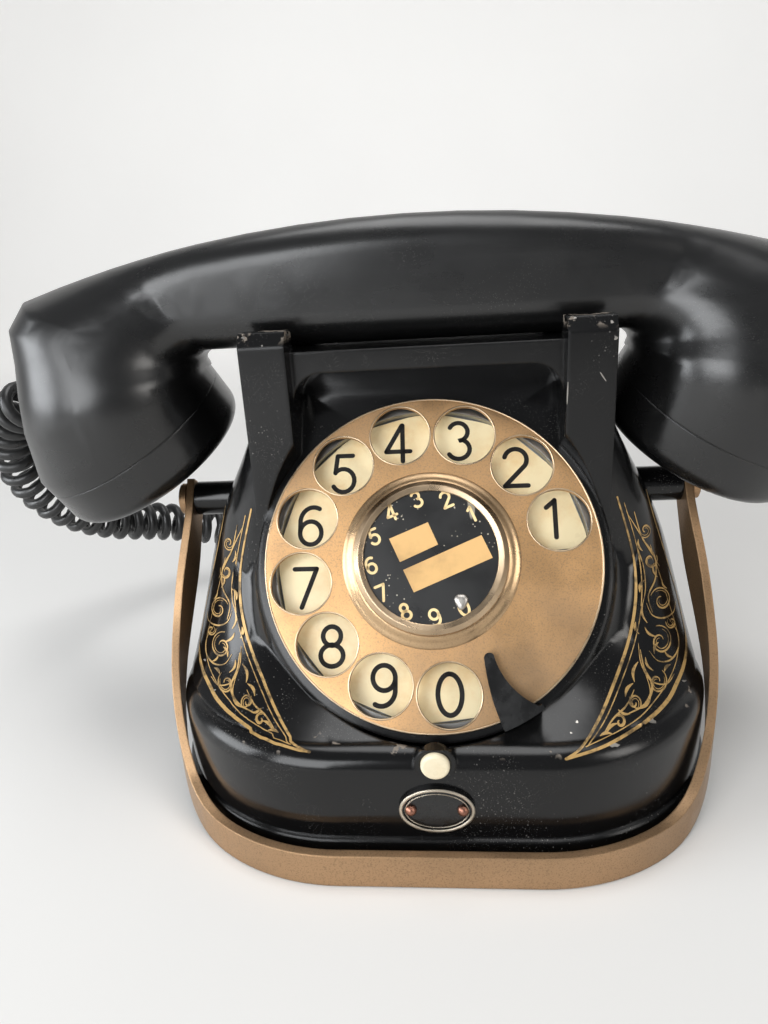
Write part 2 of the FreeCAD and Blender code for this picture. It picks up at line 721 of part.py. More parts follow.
def make_governor_spindle():
    """Spindle with its pinion, in mesh with the main gear."""
    at = polar(gear_distance(), 90)
    pinion = gear(PINION_TEETH, 270.0 + 180.0 / PINION_TEETH, GEAR_LOW - GAP, GEAR_HIGH + GAP)
    pinion.translate(at)
    rod_shape = disc(SPINDLE_RADIUS, BRIDGE_FRONT - BRIDGE_THICK, CUP_LEDGE + CUP_FLOOR, at.x, at.y)
    return on_dial(fused([pinion, rod_shape]))


def make_governor_weights():
    at = polar(gear_distance(), 90)
    low = BRIDGE_FRONT + (DRUM_HEIGHT - WEIGHT_THICK) / 2
    bar = box(
        at.x - WEIGHT_LENGTH / 2, at.x + WEIGHT_LENGTH / 2,
        at.y - WEIGHT_WIDTH / 2, at.y + WEIGHT_WIDTH / 2, low, low + WEIGHT_THICK)
    round_ends = disc(WEIGHT_LENGTH / 2, low, low + WEIGHT_THICK, at.x, at.y)
    bore = disc(SPINDLE_RADIUS + SLIP, low - 1, low + WEIGHT_THICK + 1, at.x, at.y)
    return on_dial(bar.common(round_ends).cut(bore))


def make_governor_drum():
    at = polar(gear_distance(), 90)
    high = BRIDGE_FRONT + DRUM_HEIGHT
    return on_dial(ring(DRUM_RADIUS, DRUM_RADIUS - DRUM_WALL, BRIDGE_FRONT, high, at.x, at.y))


def make_mainspring_barrel():
    return on_dial(ring(BARREL_RADIUS, SHAFT_RADIUS + GAP, BRIDGE_FRONT, BARREL_FRONT))


def make_dial_bridge():
    """Back plate of the dial on three pillars that stand on the cup."""
    plate = disc(BRIDGE_RADIUS, BRIDGE_FRONT - BRIDGE_THICK, BRIDGE_FRONT)
    at = polar(gear_distance(), 90)
    for angle in WAIST_ANGLES:
        middle = polar(WAIST_REACH, angle)
        plate = plate.cut(disc(WAIST_RADIUS, SHAFT_BACK, 0, middle.x, middle.y))
    pillars = []
    for angle in PILLAR_ANGLES:
        foot = polar(PILLAR_CIRCLE, angle)
        pillars.append(disc(PILLAR_RADIUS, BRIDGE_FRONT - BRIDGE_THICK / 2, CUP_LEDGE, foot.x, foot.y))
        pillars.append(disc(PILLAR_RADIUS * 1.8, BRIDGE_FRONT - BRIDGE_THICK, BRIDGE_FRONT, foot.x, foot.y))
    bores = [
        disc(SHAFT_RADIUS + FIT, SHAFT_BACK, 0),
        disc(SPINDLE_RADIUS + FIT, SHAFT_BACK, 0, at.x, at.y),
    ]
    return on_dial(fused([plate] + pillars).cut(bores))


def make_impulse_contacts():
    """Stack of contact blades on the dial bridge, beside the spring barrel."""
    parts = []
    left = -BARREL_RADIUS - 9
    for index in range(3):
        x = left + index * CONTACT_STEP
        parts.append(box(x, x + CONTACT_THICK, -14, 2, BRIDGE_FRONT + 2, BRIDGE_FRONT + 6))
    parts.append(box(left - 1, left + 3 * CONTACT_STEP, -14, -8, BRIDGE_FRONT, BRIDGE_FRONT + 6.5))
    return on_dial(fused(parts))


def make_finger_stop():
    """Hooked blade over the wheel, on a foot that stands on the collar."""
    top = STOP_LIFT + STOP_THICK
    inner = WHEEL_RADIUS + GAP * 2
    sector = [V(0, 0, COLLAR_FRONT)]
    sector += [polar(COLLAR_RADIUS * 1.2, STOP_ANGLE + a * STOP_SPAN / 2, COLLAR_FRONT) for a in (-1, 0, 1)]
    wedge = polygon(sector).extrude(V(0, 0, top - COLLAR_FRONT))
    foot = ring(COLLAR_RADIUS - GAP, inner, COLLAR_FRONT, top).common(wedge)
    rim_low = polar(COLLAR_RADIUS - GAP, STOP_ANGLE - STOP_SPAN / 2, STOP_LIFT)
    rim_high = polar(COLLAR_RADIUS - GAP, STOP_ANGLE + STOP_SPAN / 2, STOP_LIFT)
    tip = polar(STOP_TIP_RADIUS, STOP_ANGLE, STOP_LIFT)
    tip_low = polar(STOP_TIP_RADIUS + 1, STOP_ANGLE - STOP_TIP_SPAN / 2, STOP_LIFT)
    tip_high = polar(STOP_TIP_RADIUS + 1, STOP_ANGLE + STOP_TIP_SPAN / 2, STOP_LIFT)
    shank = polar(*STOP_SHANK, STOP_LIFT)
    hollow = polar(*STOP_HOLLOW, STOP_LIFT)
    rim_middle = polar(COLLAR_RADIUS - GAP, STOP_ANGLE, STOP_LIFT)
    outline = Part.Wire([
        Part.Arc(rim_low, shank, tip_low).toShape(),
        Part.Arc(tip_low, tip, tip_high).toShape(),
        Part.Arc(tip_high, hollow, rim_high).toShape(),
        Part.Arc(rim_high, rim_middle, rim_low).toShape(),
    ])
    blade = Part.Face(outline).extrude(V(0, 0, STOP_THICK))
    return on_dial(fused([foot, blade]))


# Button and badge

def make_button():
    front = -BASE_HALF_DEPTH - BUTTON_PROUD
    stem = rod(BUTTON_RADIUS, V(0, front, BUTTON_HEIGHT), V(0, front + BUTTON_LENGTH, BUTTON_HEIGHT))
    face = [e for e in stem.Edges if e.BoundBox.YMax < front + GAP]
    stem = stem.makeFillet(BUTTON_RADIUS * 0.25, face)
    seat = -BASE_HALF_DEPTH + WALL + GAP
    flange = rod(BUTTON_FLANGE, V(0, seat, BUTTON_HEIGHT), V(0, seat + 1, BUTTON_HEIGHT))
    ceiling = SHOULDER_HEIGHT - WALL - SHOULDER_HOLLOW / 2 - GAP
    flat = box(-BUTTON_FLANGE, BUTTON_FLANGE, seat, seat + 1, 0, ceiling)
    return fused([stem, flange.common(flat)])


def make_button_spring():
    """Contact blade that stands on the base plate behind the button."""
    back = -BASE_HALF_DEPTH - BUTTON_PROUD + BUTTON_LENGTH + GAP
    low = floor_top()
    top = SHOULDER_HEIGHT - WALL - GAP
    blade = box(-LEAF_HALF, LEAF_HALF, back, back + LEAF_THICK, low, top)
    foot = box(-LEAF_HALF, LEAF_HALF, back, back + LEAF_FOOT, low, low + LEAF_THICK)
    return fused([blade, foot])


def ellipse_plate(half_x, half_z, y, depth):
    curve = Part.Ellipse(V(half_x, y, 0), V(0, y, half_z), V(0, y, 0)).toShape()
    face = Part.Face(Part.Wire([curve]))
    face.translate(V(0, 0, BADGE_Z))
    return face.extrude(V(0, depth, 0))


def make_badge_plate():
    front = -BASE_HALF_DEPTH - BADGE_THICK
    plate = ellipse_plate(BADGE_HALF_WIDTH, BADGE_HALF_HEIGHT, front, BADGE_THICK)
    field = ellipse_plate(
        BADGE_HALF_WIDTH - BADGE_RIM, BADGE_HALF_HEIGHT - BADGE_RIM, front - 1, 1 + BADGE_FIELD)
    holes = [
        rod(RIVET_RADIUS + SLIP, V(x, front - 1, BADGE_Z), V(x, 1 - BASE_HALF_DEPTH, BADGE_Z))
        for x in (-RIVET_X, RIVET_X)]
    return plate.cut([field] + holes)


def make_badge_rivets():
    rivets = []
    front = -BASE_HALF_DEPTH - BADGE_THICK + BADGE_FIELD
    for x in (-RIVET_X, RIVET_X):
        head = Part.makeSphere(RIVET_RADIUS * 1.3, V(x, front, BADGE_Z))
        head = head.common(box(x - 3, x + 3, front - 3, front, BADGE_Z - 3, BADGE_Z + 3))
        shank = rod(RIVET_RADIUS, V(x, front, BADGE_Z), V(x, -BASE_HALF_DEPTH + WALL, BADGE_Z))
        rivets.append(fused([head, shank]))
    return Part.makeCompound(rivets)


# Carrying strap

def strap_side_points():
    """Middle line of the strap seen from the side, as (y, z) on an xy plane."""
    low = STRAP_FLOOR + STRAP_WIDTH / 2
    knee = V(STRAP_KNEE[0], STRAP_KNEE[1], 0)
    pivot = V(STRAP_PIVOT_Y, STRAP_PIVOT_Z, 0)
    end = pivot + (pivot - knee).normalize() * STRAP_TAIL
    heel = V(STRAP_HEEL_Y, low, 0)
    front = V(-STRAP_FRONT - STRAP_THICK * 2, low, 0)
    return [end, knee, heel, front]


def make_strap():
    side = band(strap_side_points(), [STRAP_KNEE_ROUND, STRAP_HEEL_ROUND], STRAP_WIDTH)
    side.Placement = FreeCAD.Placement(V(-STRAP_HALF * 1.2, 0, 0), FreeCAD.Rotation(V(1, 1, 1), 120))
    side = side.extrude(V(STRAP_HALF * 2.4, 0, 0))
    half = [
        V(STRAP_PIVOT_HALF, STRAP_PIVOT_Y + STRAP_TAIL * 3, 0),
        V(STRAP_PIVOT_HALF, STRAP_PIVOT_Y - STUD_HEAD_RADIUS * 1.5, 0),
        V(STRAP_HALF, -STRAP_FRONT, 0),
    ]
    line = half + [V(-p.x, p.y, 0) for p in reversed(half)]
    radii = [STRAP_BEND, STRAP_CORNER, STRAP_CORNER, STRAP_BEND]
    plan = band(line, radii, STRAP_THICK)
    plan = plan.extrude(V(0, 0, STRAP_PIVOT_Z * 1.5))
    pivot = V(0, STRAP_PIVOT_Y, STRAP_PIVOT_Z)
    hole = rod(STUD_RADIUS + FIT, pivot - V(STRAP_HALF * 1.1, 0, 0), pivot + V(STRAP_HALF * 1.1, 0, 0))
    return side.common(plan).cut(hole).removeSplitter()


def make_strap_studs():
    studs = []
    for side in (-1, 1):
        pivot = V(0, STRAP_PIVOT_Y, STRAP_PIVOT_Z)
        inner = STRAP_PIVOT_HALF - STRAP_THICK / 2 - GAP - STUD_DEPTH + SLIP
        outer = STRAP_PIVOT_HALF + STRAP_THICK / 2 + GAP
        shank = rod(STUD_RADIUS, pivot + V(side * inner, 0, 0), pivot + V(side * (outer + 1), 0, 0))
        face = outer + STUD_HEAD_THICK
        head = rod(STUD_HEAD_RADIUS, pivot + V(side * outer, 0, 0), pivot + V(side * face, 0, 0))
        bottom = side * (face - SLOT_DEPTH)
        low, high = min(bottom, side * STRAP_HALF), max(bottom, side * STRAP_HALF)
        slot = box(low, high, -SLOT_HALF, SLOT_HALF, -STUD_HEAD_RADIUS, STUD_HEAD_RADIUS)
        slot.translate(pivot)
        studs.append(fused([shank, head]).cut(slot))
    return Part.makeCompound(studs)


# Handset

def cup_turn():
    """Turn of the right-hand cup from upright."""
    return FreeCAD.Rotation(V(0, 1, 0), CAP_TILT).multiply(FreeCAD.Rotation(V(1, 0, 0), CAP_ROLL))


def cap_point(above):
    return V(CAP_FACE_X, CAP_FACE_Y, CAP_FACE_Z) + cup_turn().multVec(V(0, 0, above))


def on_cup(shape):
    """Move a shape from cap axes (z up into the cup) to the right-hand cup."""
    moved = shape.copy()
    place = FreeCAD.Placement(cap_point(0), cup_turn())
    moved.Placement = place.multiply(moved.Placement)
    return moved


def handle_section(x):
    """Outline across the handle at a distance from the middle."""
    high = HANDLE_HIGH - HANDLE_ARCH * x * x
    low = HANDLE_LOW - ELBOW.z
    return elbow_section(V(x, 0, ELBOW.z), 0.0, low, high - ELBOW.z, HANDLE_HALF_DEPTH, HANDLE_ROUND)


def elbow_numbers(angle):
    """Inner and outer reach, half depth and corner of a section round the elbow."""
    tilt = math.radians(angle)
    across = HANDLE_ARCH * math.sin(tilt) ** 2
    slope = 2 * HANDLE_ARCH * ELBOW.x * math.sin(tilt) + math.cos(tilt)
    drop = ELBOW.z + HANDLE_ARCH * ELBOW.x ** 2 - HANDLE_HIGH
    outer = -drop
    if angle > 0:
        top = (-slope + math.sqrt(slope ** 2 - 4 * across * drop)) / (2 * across)
        end = (HANDSET_END - ELBOW.x) / math.sin(tilt)
        outer = -END_BLEND * math.log(math.exp(-top / END_BLEND) + math.exp(-end / END_BLEND))
    waist = cap_point(CAP_THICK + CUP_STRAIGHT) - ELBOW
    low = HANDLE_LOW - ELBOW.z
    inner = low + (waist.Length - CAP_RADIUS - low) * angle / (90.0 + CAP_TILT)
    share = max(0.0, (angle - ELBOW_SWELL) / (90.0 + CAP_TILT - ELBOW_SWELL))
    share = share * share * (3 - 2 * share)
    half_depth = HANDLE_HALF_DEPTH + (CAP_RADIUS - HANDLE_HALF_DEPTH) * share
    full = min(half_depth, (outer - inner) / 2) - SLIP
    rounding = min(1.0, angle / ELBOW_ROUND)
    rounding = rounding * rounding * (3 - 2 * rounding)
    return inner, outer, half_depth, HANDLE_ROUND + (full - HANDLE_ROUND) * rounding


def elbow_section(pivot, angle, inner, outer, half_depth, corner):
    """Outline in the plane that leaves a pivot at an angle from upright."""
    wire = rounded_rect((outer - inner) / 2, half_depth, corner, 0)
    tilt = math.radians(angle)
    centre = pivot + V(math.sin(tilt), 0, math.cos(tilt)) * ((outer + inner) / 2)
    wire.Placement = FreeCAD.Placement(centre, FreeCAD.Rotation(V(0, 1, 0), angle - 90.0))
    return wire


def cup_section(above):
    """Round outline of the right-hand cup at a height above the cap face."""
    wire = rounded_rect(CAP_RADIUS, CAP_RADIUS, CAP_RADIUS - SLIP, 0)
    wire.Placement = FreeCAD.Placement(cap_point(above), cup_turn())
    return wire


def on_cradle(shape):
    """A piece of the handset, drawn about its own middle, where it lies in the case's cradle."""
    return shape.translated(CASE_SHIFT * -1)


def make_handset_body():
    """Handle and both cups as one skin through sections that fan round each elbow."""
    half = [handle_section(x) for x in HANDLE_STATIONS]
    half += [elbow_section(ELBOW, angle, *elbow_numbers(angle)) for angle in ELBOW_ANGLES]
    half += [cup_section(above) for above in (CAP_THICK + CUP_STRAIGHT, CAP_THICK)]
    right = Part.makeLoft(half, True, True)
    body = right.fuse(mirrored_x(right))
    pocket = on_cup(disc(CAPSULE_RADIUS, CAP_THICK - 1, CAP_WALL + CAPSULE_THICK + CAPSULE_ROOM))
    start, end = bush_ends()
    bush = rod(BUSH_RADIUS + SLIP, start, end)
    return body.cut([pocket, mirrored_x(pocket), bush]).removeSplitter()


def make_cap(side):
    """Screwed cap with a ring of sound holes, open towards its capsule."""
    cap = disc(CAP_RADIUS, 0, CAP_THICK)
    low = [e for e in cap.Edges if e.BoundBox.ZMax < GAP]
    cap = cap.makeFillet(CAP_ROUND, low)
    cuts = [disc(CAPSULE_RADIUS, CAP_WALL, CAP_THICK + 1), disc(EAR_HOLE_RADIUS, -1, CAP_WALL + 1)]
    for index in range(EAR_HOLES):
        at = polar(EAR_HOLE_CIRCLE, index * 360.0 / EAR_HOLES)
        cuts.append(disc(EAR_HOLE_RADIUS, -1, CAP_WALL + 1, at.x, at.y))
    shape = on_cup(cap.cut(cuts))
    return shape if side > 0 else mirrored_x(shape)


def make_capsule(side):
    radius = CAPSULE_RADIUS - SLIP * 5
    low = CAP_WALL
    body = disc(radius, low + 2, low + 2 + CAPSULE_THICK - CAP_WALL)
    dome = disc(radius * 0.7, low, low + 2 + 1)
    shape = on_cup(fused([body, dome]))
    return shape if side > 0 else mirrored_x(shape)


def bush_ends():
    """Inner and outer end of the cord bush in the left-hand cup."""
    direction = polar(1.0, BUSH_ANGLE)
    return BUSH_POINT - direction * (BUSH_LENGTH / 2), BUSH_POINT + direction * (BUSH_LENGTH / 2)


def make_cord_bush():
    start, end = bush_ends()
    return rod(BUSH_RADIUS, start, end)


# Cradle and hook switch

def make_plungers():
    return Part.makeCompound([
        disc(PLUNGER_RADIUS, PLUNGER_FOOT, CASE_TOP, side * PLUNGER_X, PLUNGER_Y) for side in (-1, 1)])


def make_plunger_bridge():
    half = PLUNGER_X + PLUNGER_RADIUS + 1
    low = PLUNGER_FOOT - BRIDGE_BAR_THICK
    bar = box(
        -half, half, PLUNGER_Y - BRIDGE_BAR_HALF_DEPTH, PLUNGER_Y + BRIDGE_BAR_HALF_DEPTH, low, PLUNGER_FOOT)
    return bar


def make_hook_bracket():
    top = HEAD_ROOM_TOP
    plate = box(
        -HOOK_BRACKET_HALF, HOOK_BRACKET_HALF, HOOK_BRACKET_Y, HOOK_BRACKET_Y + HOOK_BRACKET_THICK,
        HOOK_BRACKET_LOW, top)
    flange = box(
        -HOOK_BRACKET_HALF, HOOK_BRACKET_HALF, HOOK_BRACKET_Y, HEAD_ROOM_BACK,
        top - HOOK_BRACKET_THICK, top)
    return fused([plate, flange])


def make_hook_contacts():
    """Blades under the plunger bridge, clamped in a block on the bracket."""
    front = PLUNGER_Y + BRIDGE_BAR_HALF_DEPTH
    low = PLUNGER_FOOT - BRIDGE_BAR_THICK - GAP - CONTACT_THICK
    parts = []
    for index in range(CONTACT_COUNT):
        z = low - index * CONTACT_STEP
        half = CONTACT_LENGTH / 2
        parts.append(box(-half, half, front, HOOK_BRACKET_Y, z, z + CONTACT_THICK))
    end = low - (CONTACT_COUNT - 1) * CONTACT_STEP
    clamp = HOOK_BRACKET_Y - CLAMP_DEPTH
    parts.append(box(-CLAMP_HALF, CLAMP_HALF, clamp, HOOK_BRACKET_Y, end, low + CONTACT_THICK))
    return fused(parts)


# Ringer

def floor_top():
    return PLATE_BOTTOM + PLATE_THICK


def coil_low():
    return floor_top() + RINGER_PLATE


def core_top():
    return coil_low() + COIL_HEIGHT + CORE_PROUD


def pivot_height():
    return core_top() + ARMATURE_AIR + ARMATURE_THICK / 2


def make_ringer_frame():
    low = floor_top()
    plate = box(
        -RINGER_HALF_X, RINGER_HALF_X, RINGER_Y - RINGER_HALF_Y, RINGER_Y + RINGER_HALF_Y,
        low, coil_low())
    ears = []
    inner = ARMATURE_HALF_Y + EAR_GAP
    for side in (-1, 1):
        near = RINGER_Y + side * inner
        far = RINGER_Y + side * (inner + EAR_THICK)
        half = COIL_X - COIL_RADIUS - GAP
        high = pivot_height() + PIVOT_RADIUS * 2
        ears.append(box(-half, half, min(near, far), max(near, far), low, high))
    reach = inner + EAR_THICK
    z = pivot_height()
    pin = rod(PIVOT_RADIUS, V(0, RINGER_Y - reach, z), V(0, RINGER_Y + reach, z))
    return fused([plate, pin] + ears)


def make_ringer_coils():
    coils = []
    low = coil_low()
    for side in (-1, 1):
        x = side * COIL_X
        winding = disc(COIL_RADIUS - 0.8, low, low + COIL_HEIGHT, x, RINGER_Y)
        cheeks = [
            disc(COIL_RADIUS, low, low + 1.2, x, RINGER_Y),
            disc(COIL_RADIUS, low + COIL_HEIGHT - 1.2, low + COIL_HEIGHT, x, RINGER_Y)]
        core = disc(CORE_RADIUS, low, core_top(), x, RINGER_Y)
        coils.append(fused([winding, core] + cheeks))
    return Part.makeCompound(coils)


def make_armature():
    z = pivot_height()
    half = ARMATURE_THICK / 2
    bar = box(
        -ARMATURE_HALF_X, ARMATURE_HALF_X, RINGER_Y - ARMATURE_HALF_Y, RINGER_Y + ARMATURE_HALF_Y,
        z - half, z + half)
    boss = rod(
        PIVOT_RADIUS * 2.2, V(0, RINGER_Y - ARMATURE_HALF_Y, z), V(0, RINGER_Y + ARMATURE_HALF_Y, z))
    reach = ARMATURE_HALF_Y + 1
    bore = rod(PIVOT_RADIUS + FIT, V(0, RINGER_Y - reach, z), V(0, RINGER_Y + reach, z))
    return fused([bar, boss]).cut(bore)


def make_clapper():
    """Wire arm from the armature over the rear ear to the ball between the gongs."""
    z = pivot_height()
    foot = z + PIVOT_RADIUS * 1.6
    high = z + ARM_RISE
    path = [V(0, RINGER_Y, foot), V(0, RINGER_Y, high), V(0, GONG_Y, high), V(0, GONG_Y, z - BALL_DROP)]
    runs = [rod(ARM_RADIUS, a, b) for a, b in zip(path, path[1:])]
    knees = [Part.makeSphere(ARM_RADIUS, p) for p in path[1:-1]]
    ball = Part.makeSphere(BALL_RADIUS, path[-1])
    trim = rod(PIVOT_RADIUS * 2.2, V(0, RINGER_Y - 5, z), V(0, RINGER_Y + 5, z))
    return fused(runs + knees + [ball]).cut(trim)


def gong_x():
    return BALL_RADIUS + GONG_AIR + GONG_RADIUS


def make_gong(side):
    """Dished bell with a flat crown, revolved about its post."""
    outer = gong_section(0.0)
    inner = gong_section(GONG_SHEET)
    bell = outer.cut(inner)
    hole = disc(SCREW_RADIUS + SLIP, 0, GONG_RIM_Z + GONG_HEIGHT + 5)
    bell = bell.cut(hole)
    bell.translate(V(side * gong_x(), GONG_Y, 0))
    return bell


def gong_section(inset):
    radius = GONG_RADIUS - inset
    high = GONG_RIM_Z + GONG_HEIGHT - inset
    knee = V(radius * 0.96, 0, GONG_RIM_Z + GONG_HEIGHT * 0.5)
    flat = V(radius * 0.45, 0, high)
    bend = V(radius * 0.80, 0, GONG_RIM_Z + GONG_HEIGHT * 0.84 - inset * 0.8)
    wire = Part.Wire([
        Part.LineSegment(V(0, 0, GONG_RIM_Z), V(radius, 0, GONG_RIM_Z)).toShape(),
        Part.LineSegment(V(radius, 0, GONG_RIM_Z), knee).toShape(),
        Part.Arc(knee, bend, flat).toShape(),
        Part.LineSegment(flat, V(0, 0, high)).toShape(),
        Part.LineSegment(V(0, 0, high), V(0, 0, GONG_RIM_Z)).toShape(),
    ])
    return Part.Face(wire).revolve(V(0, 0, 0), V(0, 0, 1), 360)


def make_gong_posts():
    posts = []
    high = GONG_RIM_Z + GONG_HEIGHT
    for side in (-1, 1):
        x = side * gong_x()
        post = disc(POST_RADIUS, floor_top(), high - GONG_SHEET, x, GONG_Y)
        neck = disc(SCREW_RADIUS, high - GONG_SHEET * 2, high + 1, x, GONG_Y)
        head = disc(SCREW_HEAD_RADIUS, high, high + SCREW_HEAD_THICK, x, GONG_Y)
        posts.append(fused([post, neck, head]))
    return Part.makeCompound(posts)


# Electrical pieces

def make_capacitor():
    x0, x1, y0, y1, height = CAPACITOR_BOX
    can = box(x0, x1, y0, y1, floor_top(), floor_top() + height)
    upright = [e for e in can.Edges if e.BoundBox.ZLength > height / 2]
    can = can.makeFillet(CAPACITOR_ROUND, upright)
    high = floor_top() + height
    middle = (y0 + y1) / 2
    tags = []
    for x in (x0 + TAG_INSET, x1 - TAG_INSET - TAG_WIDTH):
        tags.append(box(x, x + TAG_WIDTH, middle - TAG_HALF, middle + TAG_HALF, high, high + TAG_WIDTH))
    return fused([can] + tags)


def make_induction_coil():
    x0, x1, y0, y1, height = COIL_BOX
    low = floor_top()
    middle = V((x0 + x1) / 2, (y0 + y1) / 2, low + height / 2)
    core = box(x0, x1, middle.y - CORE_HALF, middle.y + CORE_HALF, low, low + height)
    winding = rod(height / 2 - 0.5, V(middle.x, y0, middle.z), V(middle.x, y1, middle.z))
    cheeks = [
        box(middle.x - height / 2, middle.x + height / 2, y, y + CHEEK_THICK, low, low + height)
        for y in (y0, y1 - CHEEK_THICK)]
    return fused([core, winding] + cheeks)


def make_terminal_block():
    x0, x1, y0, y1, height = TERMINAL_BOX
    low = floor_top()
    block = box(x0, x1, y0, y1, low, low + height)
    step = (x1 - x0) / TERMINAL_SCREWS
    ribs = [box(x0 + k * step - 0.6, x0 + k * step + 0.6, y0, y1, low, low + height + 1.5)
            for k in range(1, TERMINAL_SCREWS)]
    heads = [disc(2.2, low + height, low + height + 1, x0 + (k + 0.5) * step, (y0 + y1) / 2)
             for k in range(TERMINAL_SCREWS)]
    return fused([block] + ribs + heads)


# Grommets

def make_grommet(x, bore):
    """Rubber bush in the back wall, flanged inside, with a tapered nose."""
    wall = BASE_HALF_DEPTH
    body = rod(GROMMET_RADIUS, V(x, wall - WALL - 1.5, INLET_Z), V(x, wall + 1.5, INLET_Z))
    flange = rod(GROMMET_FLANGE, V(x, wall - WALL - 1.5, INLET_Z), V(x, wall - WALL, INLET_Z))
    nose = Part.makeCone(
        GROMMET_FLANGE, GROMMET_RADIUS, INLET_END - wall, V(x, wall, INLET_Z), V(0, 1, 0))
    shape = fused([body, flange, nose])
    if bore > 0:
        shape = shape.cut(rod(bore, V(x, wall - 9, INLET_Z), V(x, INLET_END + 1, INLET_Z)))
    return shape


# Curly cord

def cord_route():
    """Corner points of the cord's middle line, from the handset to the back grommet."""
    start, end = [point - CASE_SHIFT for point in bush_ends()]
    out = (end - start).normalize()
    inlet = V(CORD_INLET_X, INLET_END, INLET_Z)
    return [end, end + out * CORD_LEAD] + list(CORD_POINTS) + [inlet + V(0, CORD_LEAD, 0), inlet]


def smooth_route(points):
    """Runs and tangent arcs as (length, point, direction, curvature) samplers."""
    pieces = []
    start = points[0]
    radii = []
    for before, corner, after in zip(points, points[1:], points[2:]):
        back = (before - corner)
        ahead = (after - corner)
        shorter = min(back.Length, ahead.Length)
        back.normalize()
        ahead.normalize()
        turn = math.pi - back.getAngle(ahead)
        radius = 0.45 * shorter / math.tan(turn / 2)
        radii.append(radius)
        reach = 0.45 * shorter
        first = corner + back * reach
        middle = (back + ahead).normalize()
        centre = corner + middle * (radius / math.cos(turn / 2))
        pieces.append(("run", start, first))
        pieces.append(("arc", first, centre, turn, ahead))
        start = corner + ahead * reach
    pieces.append(("run", start, points[-1]))
    return pieces, radii


def route_samples(points, step):
    """Evenly spaced points and directions along the rounded route."""
    pieces, radii = smooth_route(points)
    dense = []
    for piece in pieces:
        if piece[0] == "run":
            start, end = piece[1], piece[2]
            count = max(1, int((end - start).Length / 0.2))
            dense += [start + (end - start) * (k / count) for k in range(count)]
        else:
            first, centre, turn, ahead = piece[1:]
            arm = first - centre
            across = ahead - arm * (ahead.dot(arm) / arm.dot(arm))
            side = (across.normalize()) * arm.Length
            count = max(1, int(arm.Length * turn / 0.2))
            dense += [
                centre + arm * math.cos(turn * k / count) + side * math.sin(turn * k / count)
                for k in range(count)]
    dense.append(points[-1])
    length = [0.0]
    for a, b in zip(dense, dense[1:]):
        length.append(length[-1] + (b - a).Length)
    total = length[-1]
    count = max(2, int(round(total / step)))
    samples = []
    index = 0
    for k in range(count + 1):
        wanted = total * k / count
        while index < len(length) - 2 and length[index + 1] < wanted:
            index += 1
        part = (wanted - length[index]) / max(1e-9, length[index + 1] - length[index])
        samples.append(dense[index] + (dense[index + 1] - dense[index]) * part)
    return samples, total, radii


def curl_points():
    """Points on the wire's middle line, with their directions, every half turn."""
    fine = 60                       # samples to a turn
    samples, total, radii = route_samples(cord_route(), CURL_PITCH / fine)
    curls = round((total - 2 * TAIL_LENGTH) / CURL_PITCH)
    count = len(samples) - 1
    normal = V(0, 0, 1)
    wire = []
    for k, point in enumerate(samples):
        ahead = samples[min(k + 1, count)] - samples[max(k - 1, 0)]
        ahead.normalize()
        normal = (normal - ahead * normal.dot(ahead)).normalize()
        other = ahead.cross(normal)
        along = total * k / count
        wound = (along - TAIL_LENGTH) / (total - 2 * TAIL_LENGTH)
        share = min(1.0, max(0.0, wound))
        angle = 2 * math.pi * curls * share
        ramp = min(1.0, share * curls / 1.25, (1.0 - share) * curls / 1.25)
        radius = CURL_RADIUS * (3 * ramp ** 2 - 2 * ramp ** 3)
        wire.append(point + (normal * math.cos(angle) + other * math.sin(angle)) * radius)
    return wire, total, radii, curls, fine


def arc_edge(start, direction, end):
    chord = end - start
    side = direction - chord * (direction.dot(chord) / chord.dot(chord))
    if side.Length < 1e-5:
        return Part.LineSegment(start, end).toShape()
    angle = direction.getAngle(chord)
    middle = start + chord * 0.5 + side.normalize() * (chord.Length / 2 * math.tan(angle / 2))
    return Part.Arc(start, middle, end).toShape()


def biarc_edges(start, first, end, last):
    """Two tangent arcs from one point and direction to another."""
    span = end - start
    total = first + last
    along = span.dot(total)
    spread = 2.0 * (1.0 - first.dot(last))
    if spread < 1e-6:
        reach = span.dot(span) / (4.0 * max(1e-6, span.dot(last)))
    else:
        reach = (-along + math.sqrt(along ** 2 + spread * span.dot(span))) / spread
    joint = (start + end + (first - last) * reach) * 0.5
    middle = joint - (start + first * reach)
    middle.normalize()
    return [arc_edge(start, first, joint), arc_edge(joint, middle, end)]


def least_self_gap(wire, fine):
    """Least air between the wire and itself, on points more than half a turn apart."""
    step = max(1, fine // 12)
    picked = wire[::step]
    apart = fine // 2 // step + 2
    least = 1e9
    for i, a in enumerate(picked):
        for b in picked[i + apart:i + apart + 2 * fine // step]:
            least = min(least, (a - b).Length)
    return least - 2 * WIRE_RADIUS


